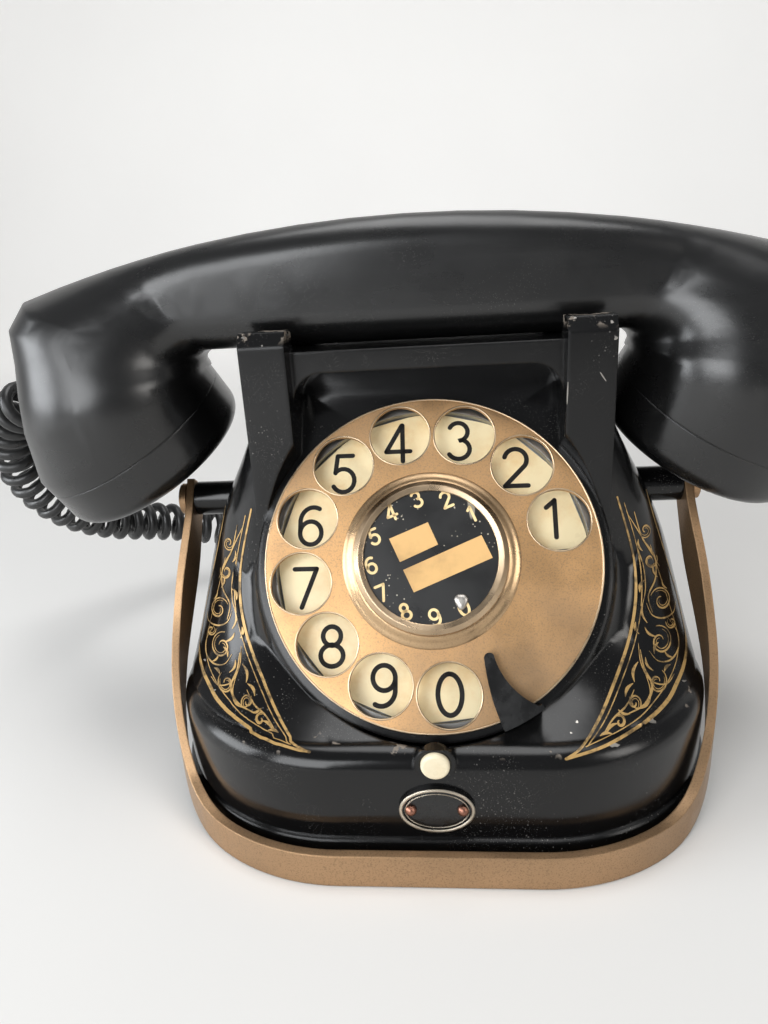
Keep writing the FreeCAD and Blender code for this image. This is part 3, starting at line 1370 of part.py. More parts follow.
def make_handset_cord():
    wire, total, radii, curls, fine = curl_points()
    print("cord route", round(total, 1), "mm,", curls, "curls, bend radii", [round(r, 1) for r in radii])
    print("cord least self gap", round(least_self_gap(wire, fine), 2), "mm")
    last = len(wire) - 1
    knots = list(range(0, last, fine // 2))
    if last - knots[-1] < fine // 4:
        knots.pop()
    knots.append(last)
    tails = 2 * WIRE_RADIUS
    edges = []
    ends = [wire[0], wire[-1]]
    head = (wire[1] - wire[0]).normalize()
    tail = (wire[-1] - wire[-2]).normalize()
    head_end = min(range(last), key=lambda k: abs((wire[k] - ends[0]).Length - tails))
    tail_start = min(range(last), key=lambda k: abs((wire[k] - ends[1]).Length - tails))
    knots = [k for k in knots if head_end < k < tail_start]
    knots = [head_end] + knots + [tail_start]
    first_point = ends[0] + head * (wire[head_end] - ends[0]).dot(head)
    last_point = ends[1] - tail * (ends[1] - wire[tail_start]).dot(tail)
    places = [first_point] + [wire[k] for k in knots[1:-1]] + [last_point]
    headings = [head] + [(wire[k + 1] - wire[k - 1]).normalize() for k in knots[1:-1]] + [tail]
    edges.append(Part.LineSegment(ends[0], first_point).toShape())
    for k in range(len(places) - 1):
        edges += biarc_edges(places[k], headings[k], places[k + 1], headings[k + 1])
    edges.append(Part.LineSegment(last_point, ends[1]).toShape())
    spine = Part.Wire(edges)
    across = head.cross(V(0, 0, 1)).normalize()
    up = across.cross(head)
    corners = []
    for k in range(WIRE_SIDES):
        angle = 2 * math.pi * k / WIRE_SIDES
        corners.append(ends[0] + (across * math.cos(angle) + up * math.sin(angle)) * WIRE_RADIUS)
    section = Part.makePolygon(corners + [corners[0]])
    tube = spine.makePipeShell([section], True, False)
    area = WIRE_SIDES / 2 * WIRE_RADIUS ** 2 * math.sin(2 * math.pi / WIRE_SIDES)
    print("cord volume", round(tube.Volume, 1), "section times length", round(area * spine.Length, 1))
    return tube


def build():
    """Every node's name with its shape."""
    return {
        "case": make_case(),
        "base_plate": make_base_plate(),
        "plate_screws": make_plate_screws(),
        "rubber_feet": make_feet(),
        "badge_plate": make_badge_plate(),
        "badge_rivets": make_badge_rivets(),
        "strap_studs": make_strap_studs(),
        "dial_cup": make_dial_cup(),
        "number_plate": make_number_plate(),
        "finger_stop": make_finger_stop(),
        "dial_bridge": make_dial_bridge(),
        "mainspring_barrel": make_mainspring_barrel(),
        "governor_drum": make_governor_drum(),
        "impulse_contacts": make_impulse_contacts(),
        "hook_bracket": make_hook_bracket(),
        "hook_contacts": make_hook_contacts(),
        "button_spring": make_button_spring(),
        "ringer_frame": make_ringer_frame(),
        "ringer_coils": make_ringer_coils(),
        "gong_left": make_gong(-1),
        "gong_right": make_gong(1),
        "gong_posts": make_gong_posts(),
        "capacitor": make_capacitor(),
        "induction_coil": make_induction_coil(),
        "terminal_block": make_terminal_block(),
        "cord_grommet": make_grommet(CORD_INLET_X, 0.0),
        "line_grommet": make_grommet(LINE_INLET_X, LINE_BORE),
        "finger_wheel": make_finger_wheel(),
        "centre_hub": make_centre_hub(),
        "centre_bezel": make_centre_bezel(),
        "label_card": make_label_card(),
        "dial_shaft": make_dial_shaft(),
        "main_gear": make_main_gear(),
        "governor_spindle": make_governor_spindle(),
        "governor_weights": make_governor_weights(),
        "handset_body": on_cradle(make_handset_body()),
        "transmitter_cap": on_cradle(make_cap(-1)),
        "receiver_cap": on_cradle(make_cap(1)),
        "transmitter_capsule": on_cradle(make_capsule(-1)),
        "receiver_capsule": on_cradle(make_capsule(1)),
        "handset_bush": on_cradle(make_cord_bush()),
        "cradle_plungers": make_plungers(),
        "plunger_bridge": make_plunger_bridge(),
        "carry_strap": make_strap(),
        "button": make_button(),
        "armature": make_armature(),
        "clapper": make_clapper(),
        "handset_cord": make_handset_cord(),
    }


os.makedirs("parts", exist_ok=True)
for name, shape in build().items():
    shape.translated(CASE_SHIFT).exportStep("parts/" + name + ".step")
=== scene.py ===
import math

import bmesh
import bpy
from mathutils import Matrix, Vector
from mathutils.bvhtree import BVHTree


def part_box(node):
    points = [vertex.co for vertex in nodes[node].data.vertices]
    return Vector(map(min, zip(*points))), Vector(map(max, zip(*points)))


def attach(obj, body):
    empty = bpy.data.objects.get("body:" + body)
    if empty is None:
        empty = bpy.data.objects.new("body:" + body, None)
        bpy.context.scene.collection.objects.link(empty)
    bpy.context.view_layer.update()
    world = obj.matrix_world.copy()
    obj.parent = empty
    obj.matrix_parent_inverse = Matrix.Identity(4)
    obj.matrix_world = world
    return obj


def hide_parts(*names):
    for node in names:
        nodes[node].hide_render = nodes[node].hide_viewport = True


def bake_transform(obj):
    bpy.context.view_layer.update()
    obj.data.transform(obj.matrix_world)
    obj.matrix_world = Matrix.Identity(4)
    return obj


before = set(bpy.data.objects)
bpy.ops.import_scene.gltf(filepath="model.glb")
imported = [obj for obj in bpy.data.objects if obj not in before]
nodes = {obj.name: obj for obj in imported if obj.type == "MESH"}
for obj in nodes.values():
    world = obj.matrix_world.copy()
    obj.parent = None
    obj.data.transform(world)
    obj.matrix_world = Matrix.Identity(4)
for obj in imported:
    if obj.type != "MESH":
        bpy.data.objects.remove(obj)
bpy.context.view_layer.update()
scene = bpy.context.scene
scene.view_settings.view_transform = "Standard"

MM = 0.001


def mm(*values):
    """A point given in millimetres, as metres."""
    return Vector(values) * MM


def link(obj):
    scene.collection.objects.link(obj)
    return obj


# The camera: the photograph's place, turn and angle of view, in the part's frame.

EYE = mm(8.4, -184.8, 126.3)
EYE_FORWARD = Vector((-0.0907, 0.9403, -0.3278)).normalized()
EYE_ACROSS = Vector((0.9948, 0.0757, -0.0583)).normalized()
EYE_DOWN = EYE_FORWARD.cross(EYE_ACROSS).normalized()
EYE_RIGHT = EYE_DOWN.cross(EYE_FORWARD).normalized()
FOCAL_PIXELS = 710.0
IMAGE_SIZE = (768, 1024)
SENSOR_WIDTH = 36.0
NEAR_CLIP = 0.01


def make_camera():
    data = bpy.data.cameras.new("photo_camera")
    data.sensor_width = SENSOR_WIDTH
    data.lens = SENSOR_WIDTH * FOCAL_PIXELS / max(IMAGE_SIZE)
    data.clip_start = NEAR_CLIP
    camera = link(bpy.data.objects.new("photo_camera", data))
    turn = Matrix((EYE_RIGHT, -EYE_DOWN, -EYE_FORWARD)).transposed()
    camera.matrix_world = Matrix.Translation(EYE) @ turn.to_4x4()
    scene.camera = camera


make_camera()


# The handset cord: one smooth route, and a helix wound round points read from it.

CORD_ROUTE = [
    mm(-104.438, 11.536, 95), mm(-114.407, 16.185, 95), mm(-129, 26, 86),
    mm(-135, 36, 68), mm(-132, 49, 51), mm(-124, 66, 39), mm(-110, 83, 32),
    mm(-92, 97, 24), mm(-71, 106, 15.5), mm(-49, 109, 10.5), mm(-29, 104, 12),
    mm(-16, 91, 15), mm(-12, 79, 16), mm(-12, 68, 16),
]
WIRE_DIAMETER = 3.6 * MM
CURL_RADIUS = 6.0 * MM
CURL_PITCH = 6.2 * MM
CURL_STEPS = 24
CORD_TAIL = 4.0 * MM
CURL_RAMP = 1.25
ROUTE_FINENESS = 40
ROUTE_ORDER = 3
WIRE_FINENESS = 3


def curve_mesh(name, kind, points, set_up):
    """The mesh of a curve with these points, once set_up has given the curve and its spline their form."""
    curve = bpy.data.curves.new(name, "CURVE")
    curve.dimensions = "3D"
    spline = curve.splines.new(kind)
    spline.points.add(len(points) - 1)
    for point, place in zip(spline.points, points):
        point.co = (*place, 1.0)
    set_up(curve, spline)
    carrier = link(bpy.data.objects.new(name, curve))
    bpy.context.view_layer.update()
    mesh = bpy.data.meshes.new_from_object(carrier)
    bpy.data.objects.remove(carrier)
    return mesh


def route_points(route):
    """Points along the route's smooth spline."""
    def smooth_run(curve, spline):
        curve.resolution_u = ROUTE_FINENESS
        spline.order_u = ROUTE_ORDER
        spline.use_endpoint_u = True

    mesh = curve_mesh("route", "NURBS", route, smooth_run)
    return [vertex.co.copy() for vertex in mesh.vertices]


def along(points, distance, lengths):
    """The point and direction at a distance along a line of points."""
    for index in range(len(points) - 1):
        if lengths[index + 1] >= distance or index == len(points) - 2:
            step = points[index + 1] - points[index]
            share = (distance - lengths[index]) / step.length
            return points[index] + step * share, step.normalized()


def running_lengths(points):
    lengths = [0.0]
    for a, b in zip(points, points[1:]):
        lengths.append(lengths[-1] + (b - a).length)
    return lengths


def helix_points(points):
    """The wire's own line: straight tails, and curls that grow and fade between them."""
    lengths = running_lengths(points)
    wound = lengths[-1] - 2 * CORD_TAIL
    curls = round(wound / CURL_PITCH)
    count = curls * CURL_STEPS
    place, heading = along(points, 0.0, lengths)
    side = heading.cross(Vector((0, 0, 1))).normalized()
    wire = [place]
    for step in range(count + 1):
        turns = step / CURL_STEPS
        distance = CORD_TAIL + wound * step / count
        place, heading = along(points, distance, lengths)
        side = (side - heading * side.dot(heading)).normalized()
        ramp = min(1.0, turns / CURL_RAMP, (curls - turns) / CURL_RAMP)
        ramp = ramp * ramp * (3 - 2 * ramp)
        angle = 2 * math.pi * turns
        reach = side * math.cos(angle) + heading.cross(side) * math.sin(angle)
        wire.append(place + reach * CURL_RADIUS * ramp)
    wire.append(points[-1])
    return wire


def tube(name, points, diameter):
    """A round wire along points, closed at both ends."""
    def round_wire(curve, spline):
        curve.bevel_depth = diameter / 2
        curve.bevel_resolution = WIRE_FINENESS
        curve.use_fill_caps = True

    mesh = curve_mesh(name, "POLY", points, round_wire)
    mesh.shade_smooth()
    return link(bpy.data.objects.new(name, mesh))


wire_line = helix_points(route_points(CORD_ROUTE))
curly_cord = tube("curly_cord", wire_line, WIRE_DIAMETER)
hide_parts("handset_cord")
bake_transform(curly_cord)


# Materials: one small helper, then a recipe for each finish.

EDGE_SAMPLES = 4


class Finish:
    """A node material, with short calls for the nodes that a recipe strings together."""

    def __init__(self, name):
        self.material = bpy.data.materials.new(name)
        self.material.use_nodes = True
        self.tree = self.material.node_tree
        self.shader = self.tree.nodes["Principled BSDF"]
        self.place = self.tree.nodes.new("ShaderNodeTexCoord").outputs["Object"]

    def put(self, socket, value):
        if isinstance(value, bpy.types.NodeSocket):
            self.tree.links.new(value, socket)
        elif isinstance(value, tuple) and len(value) == 3 and socket.type == "RGBA":
            socket.default_value = (*value, 1.0)
        else:
            socket.default_value = value

    def set(self, **values):
        for name, value in values.items():
            self.put(self.shader.inputs[name.replace("_", " ")], value)
        return self

    def noise(self, scale, detail=4.0, roughness=0.55, stretch=None):
        node = self.tree.nodes.new("ShaderNodeTexNoise")
        self.put(node.inputs["Vector"], self.stretched(stretch))
        node.inputs["Scale"].default_value = scale
        node.inputs["Detail"].default_value = detail
        node.inputs["Roughness"].default_value = roughness
        return node.outputs["Fac"]

    def stretched(self, stretch):
        if stretch is None:
            return self.place
        node = self.tree.nodes.new("ShaderNodeMapping")
        self.put(node.inputs["Vector"], self.place)
        node.inputs["Scale"].default_value = stretch
        return node.outputs["Vector"]

    def specks(self, scale, size):
        """Small round spots, one in each cell: 1 inside, 0 outside."""
        node = self.tree.nodes.new("ShaderNodeTexVoronoi")
        self.put(node.inputs["Vector"], self.place)
        node.inputs["Scale"].default_value = scale
        return self.range(node.outputs["Distance"], size, size * 0.5)

    def range(self, value, low, high, out_low=0.0, out_high=1.0):
        node = self.tree.nodes.new("ShaderNodeMapRange")
        node.interpolation_type = "SMOOTHSTEP"
        for name, number in zip(("From Min", "From Max", "To Min", "To Max"),
                                (low, high, out_low, out_high)):
            node.inputs[name].default_value = number
        self.put(node.inputs["Value"], value)
        return node.outputs["Result"]

    def math(self, operation, a, b=0.0):
        node = self.tree.nodes.new("ShaderNodeMath")
        node.operation = operation
        self.put(node.inputs[0], a)
        self.put(node.inputs[1], b)
        return node.outputs["Value"]

    def mix(self, share, a, b):
        node = self.tree.nodes.new("ShaderNodeMix")
        node.data_type = "RGBA"
        self.put(node.inputs[0], share)
        self.put(node.inputs[6], a)
        self.put(node.inputs[7], b)
        return node.outputs[2]

    def axis(self, name):
        node = self.tree.nodes.new("ShaderNodeSeparateXYZ")
        self.put(node.inputs["Vector"], self.place)
        return node.outputs[name]

    def bump(self, height, strength, distance, edge=None):
        node = self.tree.nodes.new("ShaderNodeBump")
        node.inputs["Strength"].default_value = strength
        node.inputs["Distance"].default_value = distance
        self.put(node.inputs["Height"], height)
        if edge is not None:
            self.put(node.inputs["Normal"], self.round_edge(edge))
        self.put(self.shader.inputs["Normal"], node.outputs["Normal"])
        return self

    def round_edge(self, radius):
        node = self.tree.nodes.new("ShaderNodeBevel")
        node.samples = EDGE_SAMPLES
        node.inputs["Radius"].default_value = radius
        return node.outputs["Normal"]


# Heights on the case, in metres, over which the chips set in (rise) and die away (fall).
POST_CHIPS_RISE = (0.1105, 0.1128)
CREASE_CHIPS_RISE = (0.0272, 0.0284)
CREASE_CHIPS_FALL = (0.0304, 0.029)
BLACK_PAINT = (0.004, 0.004, 0.0042)
BLACK_RESIN = (0.0045, 0.0045, 0.0046)
GREY_DUST = (0.4, 0.38, 0.35)
RESIN_DUST = (0.3, 0.29, 0.27)
PRIMER = (0.2, 0.17, 0.14)


def lacquer():
    """Glossy black stove enamel with haze, dust specks and chips on the high edges."""
    f = Finish("black_lacquer")
    haze = f.noise(26, 6)
    patches = f.range(f.noise(42, 3), 0.5, 0.72)
    dust = f.math("MULTIPLY", f.specks(900, 0.17), patches)
    fine = f.math("MULTIPLY", f.specks(2300, 0.22), f.range(f.noise(90, 2), 0.46, 0.68))
    grime = f.math("MAXIMUM", f.math("MULTIPLY", dust, 0.34), f.math("MULTIPLY", fine, 0.22))
    height = f.axis("Z")
    post_tops = f.range(height, *POST_CHIPS_RISE)
    crease = f.math("MULTIPLY", f.range(height, *CREASE_CHIPS_RISE), f.range(height, *CREASE_CHIPS_FALL))
    post_chips = f.math("MULTIPLY", f.range(f.noise(230, 5), 0.53, 0.58), post_tops)
    crease_chips = f.math("MULTIPLY", f.range(f.noise(170, 4), 0.63, 0.66), crease)
    chips = f.math("MAXIMUM", post_chips, crease_chips)
    colour = f.mix(grime, BLACK_PAINT, GREY_DUST)
    colour = f.mix(chips, colour, PRIMER)
    rough = f.range(haze, 0.3, 0.7, 0.1, 0.24)
    rough = f.math("MAXIMUM", rough, f.math("MULTIPLY", f.math("MAXIMUM", grime, chips), 0.6))
    f.set(Base_Color=colour, Roughness=rough, IOR=1.43)
    return f.bump(f.noise(150, 3), 0.04, 0.0005, 0.0009).material


def moulding():
    """Satin black moulded resin, with rubbed patches and fine dust."""
    f = Finish("black_moulding")
    cloud = f.noise(22, 6)
    streaks = f.noise(160, 4, 0.6, (0.12, 1.0, 1.0))
    dust = f.math("MULTIPLY", f.specks(2100, 0.18), f.range(f.noise(50, 2), 0.48, 0.68))
    colour = f.mix(f.math("MULTIPLY", dust, 0.3), BLACK_RESIN, RESIN_DUST)
    rough = f.math("ADD", f.range(cloud, 0.3, 0.7, 0.2, 0.33), f.range(streaks, 0.45, 0.75, 0.0, 0.05))
    f.set(Base_Color=colour, Roughness=rough, IOR=1.6)
    return f.bump(f.noise(520, 4), 0.05, 0.0003, 0.0006).material


def speckled_metal(name, light, dark, rough, speck=0.5, metallic=0.9, patina=0.4):
    """Aged plated metal: cloudy tone, fine dark speckle and rubbed brighter places."""
    f = Finish(name)
    cloud = f.range(f.noise(22, 5), 0.35, 0.75)
    speckle = f.range(f.noise(2700, 3, 0.7), 0.48, 0.68)
    pits = f.math("MULTIPLY", f.specks(1200, 0.2), f.range(f.noise(120, 3), 0.5, 0.66))
    colour = f.mix(f.math("MULTIPLY", cloud, patina), light, dark)
    colour = f.mix(f.math("MULTIPLY", f.math("MAXIMUM", speckle, pits), speck), colour, dark)
    roughness = f.range(f.noise(60, 4), 0.3, 0.7, rough - 0.08, rough + 0.1)
    f.set(Base_Color=colour, Roughness=roughness, Metallic=metallic)
    return f.bump(f.noise(1100, 2), 0.06, 0.0003, 0.0005).material


def plain_metal(name, colour, rough, edge=0.0004):
    """Clean metal with a slight cloud; edge rounds its shading, where it isn't None."""
    f = Finish(name)
    tone = f.range(f.noise(45, 4), 0.3, 0.7)
    darker = tuple(part * 0.7 for part in colour)
    f.set(Base_Color=f.mix(tone, colour, darker), Metallic=1.0)
    f.set(Roughness=f.range(f.noise(120, 3), 0.3, 0.7, rough - 0.06, rough + 0.08))
    return f.bump(f.noise(700, 2), 0.04, 0.0003, edge).material


def enamel(name, light, stain, rough=0.32):
    """Cream enamel or card with yellowed stains."""
    f = Finish(name)
    stains = f.range(f.noise(75, 5, 0.62), 0.4, 0.72)
    f.set(Base_Color=f.mix(stains, light, stain))
    f.set(Roughness=f.range(f.noise(140, 3), 0.3, 0.7, rough - 0.06, rough + 0.12))
    return f.bump(f.noise(500, 3), 0.05, 0.0003).material


# Between these places along Y, in metres, the button turns from cream to black.
BUTTON_STEM_FROM = (-0.0620, -0.0617)
BUTTON_HEAD = (0.82, 0.75, 0.56)
BUTTON_STAIN = (0.74, 0.63, 0.43)
BUTTON_STEM = (0.004, 0.004, 0.004)


def button_cream():
    """A cream button head on a black stem."""
    f = Finish("button_cream")
    stem = f.range(f.axis("Y"), *BUTTON_STEM_FROM)
    stains = f.range(f.noise(75, 5, 0.62), 0.4, 0.72)
    head = f.mix(stains, BUTTON_HEAD, BUTTON_STAIN)
    f.set(Base_Color=f.mix(stem, head, BUTTON_STEM))
    f.set(Roughness=f.range(f.noise(140, 3), 0.3, 0.7, 0.22, 0.4))
    return f.bump(f.noise(500, 3), 0.05, 0.0003).material


def matt(name, colour, rough=0.6, variation=0.35):
    """Rubber, ink, board or dull paint."""
    f = Finish(name)
    tone = f.range(f.noise(180, 4), 0.3, 0.7)
    darker = tuple(part * (1 - variation) for part in colour)
    f.set(Base_Color=f.mix(tone, colour, darker))
    f.set(Roughness=f.range(f.noise(260, 3), 0.3, 0.7, rough - 0.1, rough + 0.1))
    return f.bump(f.noise(900, 3), 0.1, 0.0003).material


LABEL_CARD = (0.012, 0.012, 0.012)
LABEL_SCRATCH = (0.5, 0.45, 0.36)


def label_black():
    """Black label card under a worn window, with pale scratches."""
    f = Finish("label_black")
    scratch = f.range(f.noise(260, 2, 0.5, (1.0, 0.35, 0.16)), 0.66, 0.7)
    dots = f.math("MULTIPLY", f.specks(900, 0.2), f.range(f.noise(120, 2), 0.5, 0.62))
    marks = f.math("MAXIMUM", f.math("MULTIPLY", scratch, 0.6), dots)
    f.set(Base_Color=f.mix(marks, LABEL_CARD, LABEL_SCRATCH))
    f.set(Roughness=f.range(f.noise(90, 4), 0.3, 0.7, 0.25, 0.45))
    return f.bump(f.noise(400, 3), 0.05, 0.0003).material


GOLD_LEAF = (0.5, 0.315, 0.115)
GOLD_WORN = (0.05, 0.036, 0.022)


def gold_paint():
    """Gold transfer on the lacquer, thin in places and chipped through."""
    f = Finish("gold_paint")
    worn = f.range(f.noise(300, 5, 0.65), 0.47, 0.64)
    colour = f.mix(f.math("MULTIPLY", worn, 0.8), GOLD_LEAF, GOLD_WORN)
    f.set(Base_Color=colour, Metallic=0.3)
    f.set(Roughness=f.range(f.noise(150, 3), 0.3, 0.7, 0.32, 0.5))
    return f.bump(f.noise(800, 3), 0.1, 0.0002).material


LACQUER = lacquer()
MOULDING = moulding()
WHEEL_METAL = speckled_metal("wheel_brass", (0.64, 0.375, 0.17), (0.25, 0.18, 0.12), 0.42, 0.5, 0.8, 0.7)
STRAP_METAL = speckled_metal("strap_brass", (0.44, 0.275, 0.15), (0.14, 0.1, 0.06), 0.42, 0.5, 0.8)
# Paler, glossier metal for the hole and wheel rims: a painted edge highlight, partly rubbed wear.
RIM_HIGHLIGHT_METAL = plain_metal("rim_highlight_and_wear", (0.66, 0.5, 0.33), 0.3, None)
BEZEL_METAL = plain_metal("bezel_metal", (0.62, 0.46, 0.3), 0.28)
HUB_METAL = speckled_metal("hub_brass", (0.54, 0.37, 0.21), (0.27, 0.18, 0.11), 0.3, 0.4)
CREAM = enamel("cream_enamel", (1.0, 0.86, 0.54), (0.88, 0.64, 0.32))
BUTTON_CREAM = button_cream()
RUBBER = matt("cord_rubber", (0.018, 0.018, 0.018), 0.36)
TRIM = matt("black_trim", (0.01, 0.01, 0.01), 0.24)
BADGE_RIM = plain_metal("badge_rim", (0.72, 0.64, 0.52), 0.3)
BARE_METAL = plain_metal("bare_metal", (0.55, 0.52, 0.48), 0.35)
FOOT_RUBBER = matt("foot_rubber", (0.02, 0.02, 0.02), 0.75)
PLATE_STEEL = plain_metal("plate_steel", (0.3, 0.3, 0.29), 0.35)
BRIGHT_STEEL = plain_metal("bright_steel", (0.62, 0.62, 0.6), 0.25)
WORKS_BRASS = plain_metal("works_brass", (0.7, 0.5, 0.22), 0.28)
COPPER = plain_metal("copper_rivet", (0.42, 0.2, 0.14), 0.3)
BOARD = matt("brown_board", (0.2, 0.11, 0.05), 0.6)
LABEL = label_black()
LABEL_PRINT = enamel("label_print", (0.86, 0.66, 0.34), (0.7, 0.48, 0.2), 0.45)
LABEL_FIELD = enamel("label_field", (0.7, 0.43, 0.17), (0.46, 0.28, 0.11), 0.5)
INK = matt("digit_ink", (0.008, 0.007, 0.006), 0.75)
GOLD = gold_paint()

FINISHES = {
    LACQUER: ["case"],
    MOULDING: ["handset_body", "transmitter_cap", "receiver_cap"],
    WHEEL_METAL: ["finger_wheel"],
    STRAP_METAL: ["carry_strap", "strap_studs"],
    BEZEL_METAL: ["centre_bezel"],
    HUB_METAL: ["centre_hub"],
    PLATE_STEEL: ["number_plate", "dial_cup", "base_plate", "hook_bracket", "ringer_frame"],
    LABEL: ["label_card"],
    TRIM: ["finger_stop", "badge_plate", "cord_grommet", "line_grommet", "handset_bush", "cradle_plungers"],
    BUTTON_CREAM: ["button"],
    COPPER: ["badge_rivets", "ringer_coils", "induction_coil"],
    FOOT_RUBBER: ["rubber_feet"],
    BRIGHT_STEEL: ["plate_screws", "gong_left", "gong_right", "gong_posts", "capacitor", "governor_spindle",
                   "dial_shaft", "armature", "clapper", "plunger_bridge"],
    WORKS_BRASS: ["main_gear", "mainspring_barrel", "dial_bridge", "governor_drum", "governor_weights",
                  "impulse_contacts", "hook_contacts", "transmitter_capsule", "receiver_capsule"],
    BOARD: ["terminal_block"],
}


def dress(obj, material):
    obj.data.materials.clear()
    obj.data.materials.append(material)


def as_object(name, mesh, material):
    """Turns a bmesh into an object with a material."""
    data = bpy.data.meshes.new(name)
    mesh.to_mesh(data)
    mesh.free()
    obj = link(bpy.data.objects.new(name, data))
    dress(obj, material)
    return obj


for finish, names in FINISHES.items():
    for name in names:
        dress(nodes[name], finish)
dress(curly_cord, RUBBER)


# The button's contact blade, cut across; in the telephone it is fixed at its foot and pushed back by the
# button at its top.

BLADE_CUTS = 18


def make_contact_blade():
    """The contact blade, cut across in many places."""
    low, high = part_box("button_spring")
    mesh = bmesh.new()
    mesh.from_mesh(nodes["button_spring"].data)
    for step in range(1, BLADE_CUTS):
        level = low[2] + (high[2] - low[2]) * step / BLADE_CUTS
        parts = list(mesh.verts) + list(mesh.edges) + list(mesh.faces)
        bmesh.ops.bisect_plane(mesh, geom=parts, plane_co=(0, 0, level), plane_no=(0, 0, 1))
    blade = as_object("button_leaf", mesh, BRIGHT_STEEL)
    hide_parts("button_spring")
    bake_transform(blade)


make_contact_blade()


# Soft shading on the carried-over solids: seams closed, faces smooth up to a crease angle.

CREASE = math.radians(32)
SEAM_GAP = 2e-6


def smoothing_group():
    tree = bpy.data.node_groups.new("smooth_by_angle", "GeometryNodeTree")
    tree.interface.new_socket("Geometry", in_out="INPUT", socket_type="NodeSocketGeometry")
    tree.interface.new_socket("Geometry", in_out="OUTPUT", socket_type="NodeSocketGeometry")
    start = tree.nodes.new("NodeGroupInput")
    merge = tree.nodes.new("GeometryNodeMergeByDistance")
    merge.inputs["Distance"].default_value = SEAM_GAP
    faces = tree.nodes.new("GeometryNodeSetShadeSmooth")
    faces.domain = "FACE"
    angle = tree.nodes.new("GeometryNodeInputMeshEdgeAngle")
    under = tree.nodes.new("FunctionNodeCompare")
    under.data_type = "FLOAT"
    under.operation = "LESS_THAN"
    under.inputs[1].default_value = CREASE
    edges = tree.nodes.new("GeometryNodeSetShadeSmooth")
    edges.domain = "EDGE"
    end = tree.nodes.new("NodeGroupOutput")
    tree.links.new(start.outputs[0], merge.inputs["Geometry"])
    tree.links.new(merge.outputs["Geometry"], faces.inputs["Geometry"])
    tree.links.new(faces.outputs["Geometry"], edges.inputs["Geometry"])
    tree.links.new(angle.outputs["Unsigned Angle"], under.inputs[0])
    tree.links.new(under.outputs["Result"], edges.inputs["Shade Smooth"])
    tree.links.new(edges.outputs["Geometry"], end.inputs[0])
    return tree


SMOOTHING = smoothing_group()
for node in nodes.values():
    modifier = node.modifiers.new("soft_shading", "NODES")
    modifier.node_group = SMOOTHING


# Shared shapes: flat strokes with rounded ends, and forms swept round an axis.

END_STEPS = 6


def ribbon(mesh, points, normals, widths):
    """Adds one flat stroke with rounded ends to a bmesh."""
    rows = []
    last = len(points) - 1
    for index, point in enumerate(points):
        before = points[max(index - 1, 0)]
        after = points[min(index + 1, last)]
        side = (after - before).cross(normals[index]).normalized()
        half = side * widths[index] / 2
        rows.append((mesh.verts.new(point + half), mesh.verts.new(point - half)))
    for a, b in zip(rows, rows[1:]):
        mesh.faces.new((a[0], b[0], b[1], a[1]))
    for index, neighbour in ((0, 1), (last, last - 1)):
        heading = (points[index] - points[neighbour]).normalized()
        side = rows[index][0].co - points[index]
        cap = [rows[index][0]]
        for part in range(1, END_STEPS):
            angle = math.pi * part / END_STEPS
            reach = side * math.cos(angle) + heading * side.length * math.sin(angle)
            cap.append(mesh.verts.new(points[index] + reach))
        cap.append(rows[index][1])
        mesh.faces.new(cap)


def finished(name, mesh, material, body):
    """Turns a bmesh into a piece that rides on a body."""
    bmesh.ops.recalc_face_normals(mesh, faces=mesh.faces)
    piece = as_object(name, mesh, material)
    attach(piece, body)
    return piece


def revolve(mesh, around, section, place, closed=False):
    """Smooth faces swept round an axis: place(angle, *point) sets each point of the section."""
    loops = []
    for step in range(around):
        angle = 2 * math.pi * step / around
        loops.append([mesh.verts.new(place(angle, *point)) for point in section])
    spans = len(section) if closed else len(section) - 1
    for a, b in zip(loops, loops[1:] + loops[:1]):
        for index in range(spans):
            other = (index + 1) % len(section)
            mesh.faces.new((a[index], b[index], b[other], a[other])).smooth = True
    return loops


def wire_section(thick, sides=8):
    """The round section of a wire ring: how far each point lies outward and upward."""
    tilts = [2 * math.pi * side / sides for side in range(sides)]
    return [(thick * math.cos(tilt), thick * math.sin(tilt)) for tilt in tilts]


def arc(x, y, radius_x, radius_y, start, end, steps=16):
    """Points on part of an ellipse, with angles in degrees."""
    points = []
    for step in range(steps + 1):
        angle = math.radians(start + (end - start) * step / steps)
        points.append((x + radius_x * math.cos(angle), y + radius_y * math.sin(angle)))
    return points


# Plain figures in strokes of one width, in a box one unit high, with the foot on the line.
FIGURE_MIDDLE = (0.3, 0.5)
FIGURES = {
    "0": [arc(0.3, 0.5, 0.3, 0.5, 90, 450, 32)],
    "1": [[(0.12, 0.78), (0.34, 0.96)], [(0.34, 0.97), (0.34, 0.0)]],
    "2": [arc(0.3, 0.71, 0.29, 0.29, 165, -35) + [(0.02, 0.02)], [(0.0, 0.0), (0.6, 0.0)]],
    "3": [arc(0.28, 0.75, 0.25, 0.25, 150, -90) + arc(0.28, 0.27, 0.29, 0.27, 70, -150)],
    "4": [[(0.44, 0.0), (0.44, 1.0)], [(0.42, 1.0), (0.0, 0.27)], [(0.0, 0.27), (0.64, 0.27)]],
    "5": [[(0.54, 1.0), (0.13, 1.0)], [(0.13, 1.0), (0.07, 0.53)], arc(0.28, 0.32, 0.3, 0.32, 135, -150)],
    "6": [arc(0.37, 0.6, 0.35, 0.4, 62, 172) + arc(0.3, 0.31, 0.285, 0.31, 172, 530, 30)],
    "7": [[(0.0, 1.0), (0.58, 1.0)], [(0.58, 1.0), (0.2, 0.0)]],
    "8": [arc(0.3, 0.76, 0.23, 0.24, -90, 270, 26), arc(0.3, 0.27, 0.29, 0.27, 90, 450, 28)],
}
# A nine is a six turned half round.
FIGURES["9"] = [[(2 * FIGURE_MIDDLE[0] - x, 2 * FIGURE_MIDDLE[1] - y) for x, y in stroke]
                for stroke in FIGURES["6"]]

